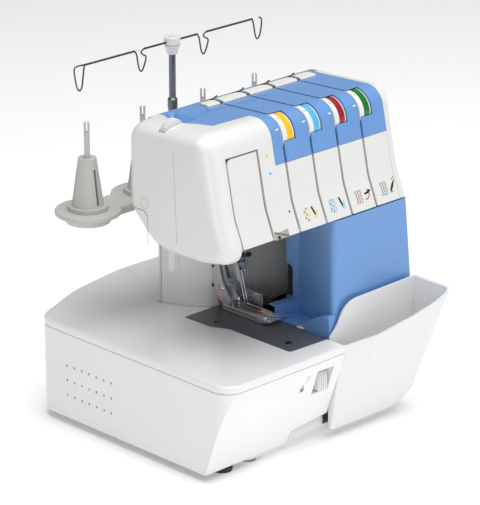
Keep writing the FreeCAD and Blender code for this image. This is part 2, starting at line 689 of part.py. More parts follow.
def needle_plate():
    """Plate with the feed slots, needle opening and two screw holes."""
    corners = [
        (-41.5, -108, 3), (5.2, -110, 2), (4.2, -82, 30), (5.8, -55, 30), (5.9, 21.4, 1), (-50, 21.4, 1.5), (-50, -12, 8),
        (-41.5, -30, 14),
    ]
    plate = extrude(corners, "xy", 97, BED_Z)
    plate = soften(plate, 0.6, lambda p: p.z > BED_Z - 0.01)
    openings = [box(-9.5, -4.5, -34, 5, 90, 110), box(-3.2, 1.0, -34, 5, 90, 110), box(2.6, 8.5, -14, 1, 90, 110)]
    screws = [rod(V(x, y, 90), V(x, y, 110), 3.2) for x, y in ((-36.5, -8), (-27, -92))]
    return cut(plate, openings + screws)


def plate_screws():
    screws = []
    for x, y in ((-36.5, -8), (-27, -92)):
        head = rod(V(x, y, 97), V(x, y, BED_Z + 0.5), 3.1)
        shank = rod(V(x, y, 90), V(x, y, 97), 3.1)
        screws.append(join([head, shank]).cut(box(x - 3.5, x + 3.5, y - 0.4, y + 0.4, BED_Z - 0.4, BED_Z + 1)))
    return Part.makeCompound(screws)


def needle_bar():
    return needle_rod(152, 246, 3.6)


def needle_clamp():
    """Clamp block with its two needle screws, on the end of the needle bar."""
    block = Part.makeBox(11.4, 9, 22, V(-5.7, -4.5, -11))
    block = soften(block, 1.5, lambda p: abs(p.x) > 5.6 and abs(p.y) > 4)
    block.rotate(V(0, 0, 0), V(1, 0, 0), -math.degrees(TILT))
    block.translate(on_needle_line(148))
    screws = []
    for dx in (-3, 3):
        start = on_needle_line(143, NEEDLE_X + dx) + V(0, -4.2, 1.2)
        screws.append(rod(start, start + V(0, -4, 1.15), 2.2))
    bores = [needle_rod(130, 142, 0.95, NEEDLE_X + dx) for dx in (-1.6, 1.6)]
    return cut(join([block] + screws), [needle_rod(152, 200, 3.6)] + bores)


def needles():
    """Two needles with shank and point, side by side in the clamp."""
    pair = []
    for dx in (-1.6, 1.6):
        x = NEEDLE_X + dx
        low = on_needle_line(105, x)
        point = on_needle_line(110, x)
        neck = on_needle_line(128, x)
        top = on_needle_line(142, x)
        pair.append(join([cone(low, point, 0.12, 0.5), rod(point, neck, 0.5), rod(neck, top, 0.95)]))
    return Part.makeCompound(pair)


def presser_bar():
    """Presser bar with the bracket that the lifter pushes up."""
    bar = needle_rod(124, 256, 3.0, PRESSER_X, PRESSER_Y)
    collar = box(-8.4, -0.3, 24, 44, 223.4, 226.4)
    reach = box(-31, -0.3, 20, 27, 223.4, 226.4)
    return join([bar, collar, reach])


def presser_spring():
    """Coil spring over the presser bar, drawn as its outer sleeve."""
    outer = needle_rod(242.6, 256, 5.2, PRESSER_X, PRESSER_Y)
    return outer.cut(needle_rod(230, 270, 3.4, PRESSER_X, PRESSER_Y))


def presser_ankle():
    """Clamp and cranked plate between the presser bar and the foot."""
    clamp = Part.makeBox(9, 9, 22, V(-4.7, -4.5, -11))
    clamp.rotate(V(0, 0, 0), V(1, 0, 0), -math.degrees(TILT))
    clamp.translate(on_needle_line(134, PRESSER_X, PRESSER_Y))
    profile = [(4, 126, 0), (16, 128, 0), (12, 112, 3), (5, 106.5, 3.5), (0.2, 110, 3), (2, 118, 1)]
    web = extrude(profile, "yz", PRESSER_X - 2.5, PRESSER_X + 2.5)
    pin = rod(V(PRESSER_X - 10, 5, 110.4), V(PRESSER_X + 10, 5, 110.4), 1.5 + FIT)
    return cut(join([clamp, web]), [needle_rod(124, 200, 3.0, PRESSER_X, PRESSER_Y), pin])


def presser_foot():
    """Sole with two toes, the hinge cheeks and the pin it tilts on."""
    sole = extrude([(-12, -51, 4), (8.4, -51, 6), (8.4, 12, 3), (-12, 12, 3)], "xy", 100.6, 104)
    tip = extrude([(-52, 100, 0), (-38, 100, 0), (-52, 103.4, 0)], "yz", -20, 12)
    heel = extrude([(6, 100, 0), (14, 100, 0), (14, 102, 0)], "yz", -20, 12)
    slot = extrude([(2.8, -20, 0.8), (9.4, -20, 0), (9.4, 1, 0), (2.8, 1, 0.8)], "xy", 95, 120)
    slot_left = extrude([(-2, -30, 1), (0.2, -30, 1), (0.2, -4, 1), (-2, -4, 1)], "xy", 95, 120)
    cheeks = []
    for x0 in (PRESSER_X - 5.4, PRESSER_X + 2.9):
        cheeks.append(extrude([(-1, 103, 0), (11, 103, 0), (9, 114, 4), (1, 114, 4)], "yz", x0, x0 + 2.5))
    pin = rod(V(PRESSER_X - 5.4, 5, 110.4), V(PRESSER_X + 5.4, 5, 110.4), 1.5)
    return join([cut(sole, [tip, heel, slot, slot_left])] + cheeks + [pin])


def presser_lifter():
    """Finger tongue, cross shaft and the arm that raises the presser bar's bracket."""
    y = LIFT_Y
    z = LIFT_Z
    tongue = extrude([(y - 5, z, 3), (y - 2, 154, 3.5), (y + 5, 151, 3.5), (y + 5, z, 3)], "yz", -73, -66)
    hub = rod(V(-74, y, z), V(-64, y, z), 7)
    shaft = rod(V(-76, y, z), V(-24, y, z), 3)
    arm = extrude([(y - 5, z - 5, 4), (y + 12, z - 6, 3), (y + 12, z, 3), (y - 5, z + 5, 4)], "yz", -31, -24)
    return join([tongue, hub, shaft, arm.cut(box(-40, -20, y + 5, y + 20, z + 0.4, z + 9))])


def feed_dogs():
    """Toothed main and differential feed bars on their carrier."""
    pitch = 1.5
    rows = []
    for x0, x1 in ((-9, -5), (-2.7, 0.5)):
        for y0, y1 in ((-31, -16), (-13, 2)):
            count = int((y1 - y0) / pitch)
            teeth = []
            for i in range(count):
                teeth.append((y0 + pitch * i, 98.2, 0))
                teeth.append((y0 + pitch * i + pitch / 2, 99.2, 0))
            end = y0 + pitch * count
            rows.append(extrude([(y0, 90, 0), (end, 90, 0), (end, 98.2, 0)] + teeth[::-1], "yz", x0, x1))
    carrier = box(-10, 1.6, -32, 2, 84, 90)
    return join(rows + [carrier])


def upper_looper():
    """Curved looper blade on its lever, ahead of the needle."""
    lever = rod(V(34, -30, 60), V(34, -22, 60), 6)
    arm = extrude([(34, 55, 4), (40, 62, 4), (26, 90, 3), (19, 88, 3)], "xz", -28, -24)
    blade = extrude([(26, 90, 1), (20, 95.4, 2), (9, 93, 0.4), (19, 88, 1)], "xz", -27, -25)
    return join([lever, arm, blade]).cut(rod(V(34, -40, 60), V(34, -10, 60), 3 + FIT))


def lower_looper():
    """Hooked looper blade on its lever, behind the needle."""
    lever = rod(V(-20, 2, 52), V(-20, 10, 52), 6)
    arm = extrude([(-24, 50, 4), (-16, 50, 4), (-14, 80, 3), (-21, 82, 3)], "xz", 4, 8)
    blade = extrude([(-21, 80, 1), (-14, 79, 1), (2, 86, 0.3), (-10, 86, 3)], "xz", 5, 7)
    return join([lever, arm, blade]).cut(rod(V(-20, 0, 52), V(-20, 20, 52), 3 + FIT))


def upper_knife():
    """Moving knife on its holder arm, right of the foot."""
    blade = box(11.9, 13.7, -18, -8, 98, 116)
    arm = box(11.9, 17.9, -8, 12, 104, 114)
    stem = box(13.5, 17.9, 4, 12, 62, 104)
    return join([blade, arm, stem])


def lower_knife():
    blade = box(9.7, 11.6, -20, -6, 84, 99.6)
    holder = box(9.7, 21.5, -20, -8, 76, 84)
    foot = box(16.5, 21.5, -20, -8, 20, 76)
    return join([blade, holder, foot])


# --- covers that come off ------------------------------------------------------

def looper_cover():
    """Blue front cover: leaning face, left facet, rear return, low chute floor and finger fence."""
    low = [(END_X, -110.3, 2), (END_X, -26, 0), (36.5, -26, 0), (36.5, -42.6, 1.5), (13.2, -110.3, 5)]
    high = [(END_X, -99, 2), (END_X, -26, 0), (36.5, -26, 0), (36.5, -42.6, 1.5), (24, -99, 5)]
    low_in = [(END_X + 5, -107.8, 0), (END_X + 5, -20, 0), (39, -20, 0), (39, -42.9, 0), (16.7, -107.8, 3)]
    high_in = [(END_X + 5, -96.5, 0), (END_X + 5, -20, 0), (39, -20, 0), (39, -42.9, 0), (26.9, -96.5, 3)]
    shell = loft(low, 97, high, COVER_TOP).cut(loft(low_in, 96.99, high_in, COVER_TOP + 0.01))
    notch = extrude([(-34.5, 112, 0), (-20, 112, 0), (-20, 144, 0), (-34.5, 144, 6)], "yz", 30, 45)
    apron = box(8, END_X, -110.3, -107.8, 26, 97)
    ramp = [
        (-42.6, 95, 0), (-42.6, 100.6, 0), (-58, 100.6, 20), (-72, 102.4, 20), (-90, 114, 24), (-105, 119.6, 8),
        (-109.4, 119.6, 3), (-110.3, 97, 0), (-110.3, 95, 0),
    ]
    under = [
        (-30, 90, 0), (-30, 98, 0), (-72, 99.8, 20), (-90, 111.4, 24), (-105, 117, 8), (-107.8, 117, 0), (-107.8, 90, 0),
    ]
    chute = extrude(ramp, "yz", 8, 40).cut(extrude(under, "yz", 10.5, 45))
    side = box(0, 60, -130, 0, 90, 130).cut(extrude([(8, -112, 0), (16, -112, 0), (38, -44, 0), (38, -30, 0), (8, -30, 0)], "xy", 90, 130))
    fence = extrude([(10, -37, 0), (10, -38.6, 0), (37.6, -43.2, 0), (37.6, -41.6, 0)], "xy", 98, 112)
    flange = extrude([(9.2, -37.4, 1), (37.6, -42.2, 0), (37.6, -33, 0), (9.2, -32, 2)][::-1], "xy", 110.6, 112.2)
    return join([shell.cut(notch), apron, chute.cut(side), fence, flange])


def bin_form(inset, top):
    """Body of the waste bin without its cut rim, shrunk by a wall when inset is given."""
    i = inset
    rim = [
        (5.6 + i, -112 - i, 0), (5.6 + i, -134 + i, 4), (36, -153 + i, 30), (75, -161 + i, 60),
        (BIN_RIGHT - i, -160.5 + i, 9 - min(i, 6)), (BIN_RIGHT - i, -112 - i, 0),
    ]
    floor = [
        (5.6 + i, -112 - i, 0), (5.6 + i, -115.5 + i * 0.8, 0.8), (36, -116.5 + i * 0.8, 1), (75, -117 + i * 0.8, 1),
        (BIN_RIGHT - 14 - i, -117 + i * 0.8, 0.8), (BIN_RIGHT - 14 - i, -112 - i, 0),
    ]
    side = [
        (5.6 + i, 10 + i, 4), (BIN_RIGHT - 14 - i, 10 + i, 34), (BIN_RIGHT - i, 80, 60), (BIN_RIGHT - i, 200, 0),
        (5.6 + i, 200, 0),
    ]
    return loft(floor, 10 + i, rim, top).common(extrude(side, "xz", -170, -100))


def waste_bin():
    """Trim bin: a low wavy rim in front and a tall back that drops in an S curve at its left."""
    shell = bin_form(0.0, 134).cut(bin_form(2.0, 134.5))
    above_front = [
        (0, 95.5, 0), (5.6, 96, 0), (36, 104, 60), (75, 115.5, 60), (101, 122, 30), (BIN_RIGHT, 133, 0),
        (130, 150, 0), (0, 150, 0),
    ]
    above_back = [(0, 98, 0), (14, 109.5, 30), (26, 132, 26), (130, 133.4, 0), (130, 150, 0), (0, 150, 0)]
    return cut(shell, [extrude(above_front, "xz", -170, -114), extrude(above_back, "xz", -114, -100)])


def table_outline():
    """Plan of the extension table, which wraps the free arm on its left, front and rear."""
    plate_edge = [(-50.6, 21.9, 1), (-50.6, -12, 8), (-42.1, -30, 14), (-42.1, -108.7, 3), (5.0, -110.8, 0)]
    return [
        (LEFT_X, -133.5, 18), (5.0, -133.5, 0),
    ] + plate_edge[::-1] + [
        (-14.6, 21.9, 0), (-29.6, 39.6, 14), (-41, 64.6, 0), (-41, 70.2, 0), (60, 70.2, 0), (60, 159, 20), (-10, 160.5, 160),
        (-80, 147, 160), (LEFT_X, 119, 22),
    ]


def table_undercut(inset):
    """Region behind the sloping front face of the table."""
    slope = [
        (-133.5 + inset, 110, 0), (-133.5 + inset, 93, 6), (-104.5 + inset, 8, 0), (-104.5 + inset, 0, 0),
        (170, 0, 0), (170, 110, 0),
    ]
    return extrude(slope[::-1], "yz", -160, 80)


def table_lid():
    """Top of the extension table, with a turned-down rim."""
    seam = 93.0
    top = extrude(table_outline(), "xy", seam, BED_Z)
    top = soften(top, 2.0, lambda p: p.z > BED_Z - 0.01 and not (-60 < p.x < 64 and -125 < p.y < 71))
    return top.cut(extrude(grown(table_outline(), -2.5), "xy", seam - 1, BED_Z - 2.6))


def table_body():
    """Body of the extension table, open below, with vent holes and the latch pocket."""
    bottom = 8.0
    outer = extrude(table_outline(), "xy", bottom, 92.5).common(table_undercut(0.0))
    inner = extrude(grown(table_outline(), -WALL), "xy", bottom - 1, 90).common(table_undercut(WALL))
    body = outer.cut(inner)
    holes = []
    for row in range(3):
        for i in range(7):
            y = 20.5 + 10.2 * i
            z = 30.9 + 15 * row
            holes.append(rod(V(LEFT_X - 5, y, z), V(LEFT_X + 5, y, z), 1.25))
    pocket = box(-29.5, -3, -132, -112.5, 55, 85).common(table_undercut(WALL - 0.1))
    recess = box(-27, -5.5, -140, -115, 57.5, 82.5)
    over_base = box(-94, 118, -103.6, 66.5, 0, 12.6)
    return cut(join([body, pocket]), holes + [recess, over_base])


def table_feet():
    places = [(-112, -92), (-112, 96), (30, 120)]
    feet = []
    for x, y in places:
        post = rod(V(x, y, 5), V(x, y, 90), 6)
        pad = cone(V(x, y, 0), V(x, y, 5), 9, 10)
        feet.append(join([post, pad]))
    return Part.makeCompound(feet)


def table_latch():
    """Ridged slider that locks the table to the free arm."""
    slider = extrude([(-19, 58.5, 1), (-7, 58.5, 1), (-7, 75.5, 1), (-19, 75.5, 1)], "xz", -122.5, -115.5)
    ridges = [box(-17.6 + 2.6 * i, -16.4 + 2.6 * i, -123.7, -122.5, 60, 74) for i in range(4)]
    return join([slider] + ridges)


# --- cone stand and thread antenna ---------------------------------------------

def spool_tray():
    """Row of four round dishes with a lower skirt, on two arms from the rear cover."""
    discs = [rod(V(x, STAND_Y, STAND_Z - 4), V(x, STAND_Y, STAND_Z), 31) for x in PINS]
    bridge = box(PINS[0], PINS[3], STAND_Y - 16, STAND_Y + 16, STAND_Z - 4, STAND_Z)
    skirts = [cone(V(x, STAND_Y, STAND_Z - 12), V(x, STAND_Y, STAND_Z - 4), 21, 26) for x in PINS]
    rib = box(PINS[0], PINS[3], STAND_Y - 9, STAND_Y + 9, STAND_Z - 12, STAND_Z - 4)
    tray = soften(join(discs + [bridge, rib] + skirts), 1.5, lambda p: abs(p.z - STAND_Z) < 0.01)
    shoulder = [(REAR_Y, 160, 0), (88, 188, 0), (88, STAND_Z - 6, 0), (REAR_Y, STAND_Z - 6, 0)]
    arms = [extrude(shoulder, "yz", x, x + 10) for x in (-25, 80)]
    bores = [rod(V(x, STAND_Y, 180), V(x, STAND_Y, 220), PIN_ROOT_R) for x in PINS]
    socket = rod(V(POLE_X, POLE_Y, 180), V(POLE_X, POLE_Y, 220), 4.25)
    casing = box(-40.5, 130, 40, REAR_Y, 180, 210)
    return cut(join([tray] + arms), bores + [socket, casing])


def spool_pins():
    """Four spool pins on thicker roots, each split at its tip into two prongs."""
    pins = []
    for x in PINS:
        root = rod(V(x, STAND_Y, STAND_Z - 12), V(x, STAND_Y, STAND_Z + 50.3), PIN_ROOT_R)
        tip = rod(V(x, STAND_Y, STAND_Z + 50), V(x, STAND_Y, 290), 2.65)
        tip = soften(tip, 0.5, lambda p: p.z > 289.9)
        split = box(x - 0.8, x + 0.8, STAND_Y - 4, STAND_Y + 4, 281, 292)
        split.rotate(V(x, STAND_Y, 0), V(0, 0, 1), -45)
        pins.append(join([root, tip]).cut(split))
    return Part.makeCompound(pins)


def cone_holders():
    """Slotted cone holders standing round the pins."""
    holders = []
    for x in PINS:
        body = cone(V(x, STAND_Y, STAND_Z), V(x, STAND_Y, STAND_Z + 50), 15.5, 8.5)
        foot = rod(V(x, STAND_Y, STAND_Z), V(x, STAND_Y, STAND_Z + 4), 19)
        room = cone(V(x, STAND_Y, STAND_Z - 0.1), V(x, STAND_Y, STAND_Z + 48), 13.5, 6.6)
        bore = rod(V(x, STAND_Y, STAND_Z - 1), V(x, STAND_Y, STAND_Z + 60), PIN_ROOT_R + 0.2)
        slots = []
        for i in range(3):
            slot = box(x + 4, x + 22, STAND_Y - 1.2, STAND_Y + 1.2, STAND_Z + 6, STAND_Z + 40)
            slot.rotate(V(x, STAND_Y, 0), V(0, 0, 1), 30 + 120 * i)
            slots.append(slot)
        holders.append(cut(join([body, foot]), [room, bore] + slots))
    return Part.makeCompound(holders)


def antenna_lower():
    tube = rod(V(POLE_X, POLE_Y, STAND_Z - 12), V(POLE_X, POLE_Y, 290), 4.25)
    tube = tube.cut(rod(V(POLE_X, POLE_Y, STAND_Z - 10), V(POLE_X, POLE_Y, 291), 3.3 + FIT))
    return tube


def antenna_upper():
    return rod(V(POLE_X, POLE_Y, 230), V(POLE_X, POLE_Y, 333), 3.3)


def antenna_cap():
    """White head of the antenna: collar, disc and the pin that the guide bar turns on."""
    collar = cone(V(POLE_X, POLE_Y, 333), V(POLE_X, POLE_Y, 342), 5, 7.5)
    pin = rod(V(POLE_X, POLE_Y, 342), V(POLE_X, POLE_Y, 350), 3)
    return join([collar, pin])


def guide_bar():
    """Wire bar with a hub and four thread hooks."""
    hub = rod(V(POLE_X, POLE_Y, 342.3), V(POLE_X, POLE_Y, 349.5), 8)
    hub = hub.cut(rod(V(POLE_X, POLE_Y, 340), V(POLE_X, POLE_Y, 352), 3 + FIT))
    bar = join([
        rod(V(-125, POLE_Y, BAR_Z), V(POLE_X - 7, POLE_Y, BAR_Z), 1.3),
        rod(V(POLE_X + 7, POLE_Y, BAR_Z), V(117, POLE_Y, BAR_Z), 1.3),
    ])
    hooks = []
    for x, drop, reach in ((-119, 24, 6), (-41, 21, 7), (39, 21, 7), (112, 21, 5)):
        hooks.append(rod(V(x - reach, POLE_Y, BAR_Z), V(x, POLE_Y - 2, BAR_Z - drop), 1.1))
        hooks.append(rod(V(x, POLE_Y - 2, BAR_Z - drop), V(x + reach, POLE_Y, BAR_Z), 1.1))
    return join([hub, bar] + hooks)


PIECES = [
    base_plate, machine_feet, arm_frame, bed_casing, column_cover, rear_cover, right_end_cover, head_cover,
    needle_thread_cover, front_panels, top_cover, tension_bracket, tension_spindles, rear_guides,
    pressure_thumbwheel, cutter_cover, main_shaft, shaft_bearings, drive_pulley, handwheel,
    motor, motor_pulley, drive_belt, power_switch, switch_frame, power_inlet, needle_plate, plate_screws,
    needle_bar, needle_clamp, needles, presser_bar, presser_spring, presser_ankle, presser_foot, presser_lifter,
    feed_dogs, upper_looper, lower_looper, upper_knife, lower_knife,
    looper_cover, waste_bin, table_lid, table_body, table_feet, table_latch, spool_tray, spool_pins,
    cone_holders, antenna_lower, antenna_upper, antenna_cap, guide_bar,
]
for make in PIECES:
    save(make.__name__, make())
for number in range(4):
    save(f"tension_dial_{number + 1}", tension_dial(number))
save("stitch_length_dial", setting_dial(84.0))
save("differential_dial", setting_dial(54.0))
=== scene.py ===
import math

import bmesh
import bpy
from mathutils import Matrix, Vector


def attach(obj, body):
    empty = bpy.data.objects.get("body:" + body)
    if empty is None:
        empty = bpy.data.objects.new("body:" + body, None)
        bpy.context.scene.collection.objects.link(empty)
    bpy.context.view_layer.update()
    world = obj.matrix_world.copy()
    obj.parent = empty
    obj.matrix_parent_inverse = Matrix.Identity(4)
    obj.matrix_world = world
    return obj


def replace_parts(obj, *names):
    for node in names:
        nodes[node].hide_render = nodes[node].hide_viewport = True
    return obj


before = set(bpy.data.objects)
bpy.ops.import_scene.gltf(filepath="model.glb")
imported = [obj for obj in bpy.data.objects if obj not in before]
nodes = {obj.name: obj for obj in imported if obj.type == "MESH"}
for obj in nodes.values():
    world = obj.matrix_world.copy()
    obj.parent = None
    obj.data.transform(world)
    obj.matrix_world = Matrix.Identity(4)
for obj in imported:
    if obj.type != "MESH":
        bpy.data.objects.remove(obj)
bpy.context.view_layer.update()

# --- Studio -------------------------------------------------------------------
# A wide pale floor under even studio light, brightest from above and from the machine's front right,
# so that the left side of the head falls into soft grey. The camera stands well back with a long lens.
bpy.context.scene.view_settings.view_transform = "Standard"
look_from = Vector((-1.9023, -1.9368, 1.1667))
azimuth, elevation = math.radians(-44.5), math.radians(20.4)
backwards = Vector((math.sin(azimuth) * math.cos(elevation), -math.cos(azimuth) * math.cos(elevation), math.sin(elevation)))
camera = bpy.data.objects.new("studio_camera", bpy.data.cameras.new("studio_camera"))
camera.data.lens = 220.4
camera.data.sensor_width = 36.0
camera.data.clip_end = 100.0
camera.location = look_from
camera.rotation_mode = "QUATERNION"
camera.rotation_quaternion = (-backwards).to_track_quat("-Z", "Y")
bpy.context.scene.collection.objects.link(camera)
bpy.context.scene.camera = camera


def softbox(name, place, target, width, height, watts):
    lamp = bpy.data.lights.new(name, "AREA")
    lamp.shape = "RECTANGLE"
    lamp.size = width
    lamp.size_y = height
    lamp.energy = watts
    box = bpy.data.objects.new(name, lamp)
    box.location = place
    box.rotation_mode = "QUATERNION"
    box.rotation_quaternion = (Vector(target) - Vector(place)).to_track_quat("-Z", "Y")
    bpy.context.scene.collection.objects.link(box)


softbox("overhead_softbox", (0.0, -0.3, 1.9), (0, 0, 0.1), 2.2, 2.2, 40)
softbox("front_softbox", (0.6, -2.3, 0.6), (0, 0, 0.15), 1.5, 1.2, 6.5)
softbox("throat_softbox", (-1.5, -1.6, 0.42), (0, 0, 0.14), 1.0, 0.6, 4.5)

sky = bpy.data.worlds.new("studio_air")
bpy.context.scene.world = sky
sky.use_nodes = True
sky.node_tree.nodes["Background"].inputs["Color"].default_value = (1, 1, 1, 1)
sky.node_tree.nodes["Background"].inputs["Strength"].default_value = 0.24

floor_mesh = bpy.data.meshes.new("studio_floor")
floor_mesh.from_pydata([(-30, -30, 0), (30, -30, 0), (30, 30, 0), (-30, 30, 0)], [], [(0, 1, 2, 3)])
studio_floor = bpy.data.objects.new("studio_floor", floor_mesh)
bpy.context.scene.collection.objects.link(studio_floor)
paper = bpy.data.materials.new("studio_paper")
paper.use_nodes = True
paper.node_tree.nodes["Principled BSDF"].inputs["Base Color"].default_value = (0.93, 0.93, 0.93, 1)
paper.node_tree.nodes["Principled BSDF"].inputs["Roughness"].default_value = 0.9
paper.node_tree.nodes["Principled BSDF"].inputs["Emission Color"].default_value = (1, 1, 1, 1)
paper.node_tree.nodes["Principled BSDF"].inputs["Emission Strength"].default_value = 0.24
floor_mesh.materials.append(paper)

# --- White casing ---------------------------------------------------------------
# The casing is injection-moulded ABS in a warm white satin: front and head shells, free arm, column wall,
# rear shell and right end. Mould grain is very fine, and edges are softly rounded, with a painted highlight along them.


def moulded_finish(name, colour, roughness, grain=0.05, coat=0.0, tone=0.04, edge_highlight=0.05, see_through=0.0):
    """Moulded plastic: fine grain, faint cloudy tone, and a painted highlight that lightens the colour along soft
    edges.
    """
    finish = bpy.data.materials.new(name)
    finish.use_nodes = True
    tree = finish.node_tree
    shader = tree.nodes["Principled BSDF"]
    place = tree.nodes.new("ShaderNodeTexCoord")
    cloud = tree.nodes.new("ShaderNodeTexNoise")
    cloud.inputs["Scale"].default_value = 14.0
    cloud.inputs["Detail"].default_value = 4.0
    tree.links.new(place.outputs["Object"], cloud.inputs["Vector"])
    shade = tree.nodes.new("ShaderNodeMix")
    shade.data_type = "RGBA"
    shade.inputs["A"].default_value = (*[c * (1 - tone) for c in colour], 1)
    shade.inputs["B"].default_value = (*colour, 1)
    tree.links.new(cloud.outputs["Fac"], shade.inputs["Factor"])
    # Painted highlight: where the bevelled normal turns away from the true normal, the colour is mixed towards a
    # lighter tone.
    soft_edge = tree.nodes.new("ShaderNodeBevel")
    soft_edge.samples = 4
    soft_edge.inputs["Radius"].default_value = 0.0007
    facing = tree.nodes.new("ShaderNodeNewGeometry")
    apart = tree.nodes.new("ShaderNodeVectorMath")
    apart.operation = "DOT_PRODUCT"
    tree.links.new(soft_edge.outputs["Normal"], apart.inputs[0])
    tree.links.new(facing.outputs["Normal"], apart.inputs[1])
    edge = tree.nodes.new("ShaderNodeMapRange")
    edge.inputs["From Min"].default_value = 0.98
    edge.inputs["From Max"].default_value = 0.80
    edge.inputs["To Max"].default_value = edge_highlight
    tree.links.new(apart.outputs["Value"], edge.inputs["Value"])
    highlighted_edge = tree.nodes.new("ShaderNodeMix")
    highlighted_edge.data_type = "RGBA"
    highlighted_edge.inputs["B"].default_value = (*[min(1.0, c * 0.6 + 0.4) for c in colour], 1)
    tree.links.new(edge.outputs["Result"], highlighted_edge.inputs["Factor"])
    tree.links.new(shade.outputs["Result"], highlighted_edge.inputs["A"])
    tree.links.new(highlighted_edge.outputs["Result"], shader.inputs["Base Color"])
    sheen = tree.nodes.new("ShaderNodeMapRange")
    sheen.inputs["To Min"].default_value = roughness - 0.05
    sheen.inputs["To Max"].default_value = roughness + 0.06
    tree.links.new(cloud.outputs["Fac"], sheen.inputs["Value"])
    tree.links.new(sheen.outputs["Result"], shader.inputs["Roughness"])
    pores = tree.nodes.new("ShaderNodeTexNoise")
    pores.inputs["Scale"].default_value = 2600.0
    pores.inputs["Detail"].default_value = 2.0
    tree.links.new(place.outputs["Object"], pores.inputs["Vector"])
    bump = tree.nodes.new("ShaderNodeBump")
    bump.inputs["Strength"].default_value = grain
    bump.inputs["Distance"].default_value = 0.0001
    tree.links.new(pores.outputs["Fac"], bump.inputs["Height"])
    tree.links.new(soft_edge.outputs["Normal"], bump.inputs["Normal"])
    tree.links.new(bump.outputs["Normal"], shader.inputs["Normal"])
    shader.inputs["Coat Weight"].default_value = coat
    shader.inputs["Coat Roughness"].default_value = 0.12
    shader.inputs["Transmission Weight"].default_value = see_through
    return finish


def refined(node, body, finish, sharp=0.5):
    """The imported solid's surface, merged and smoothly shaded, riding its body in the solid's place."""
    mesh = nodes[node].data.copy()
    mesh.name = node + "_surface"
    shape = bmesh.new()
    shape.from_mesh(mesh)
    bmesh.ops.remove_doubles(shape, verts=shape.verts, dist=2e-6)
    bmesh.ops.dissolve_degenerate(shape, edges=shape.edges, dist=1e-7)
    for face in shape.faces:
        face.smooth = True
    for edge in shape.edges:
        edge.smooth = len(edge.link_faces) == 2 and edge.calc_face_angle(0.0) < sharp
    shape.to_mesh(mesh)
    shape.free()
    for layer in [a.name for a in mesh.attributes if "normal" in a.name]:
        mesh.attributes.remove(mesh.attributes[layer])
    mesh.materials.clear()
    mesh.materials.append(finish)
    piece = bpy.data.objects.new(node + "_surface", mesh)
    bpy.context.scene.collection.objects.link(piece)
    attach(piece, body)
    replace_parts(piece, node)
    return piece


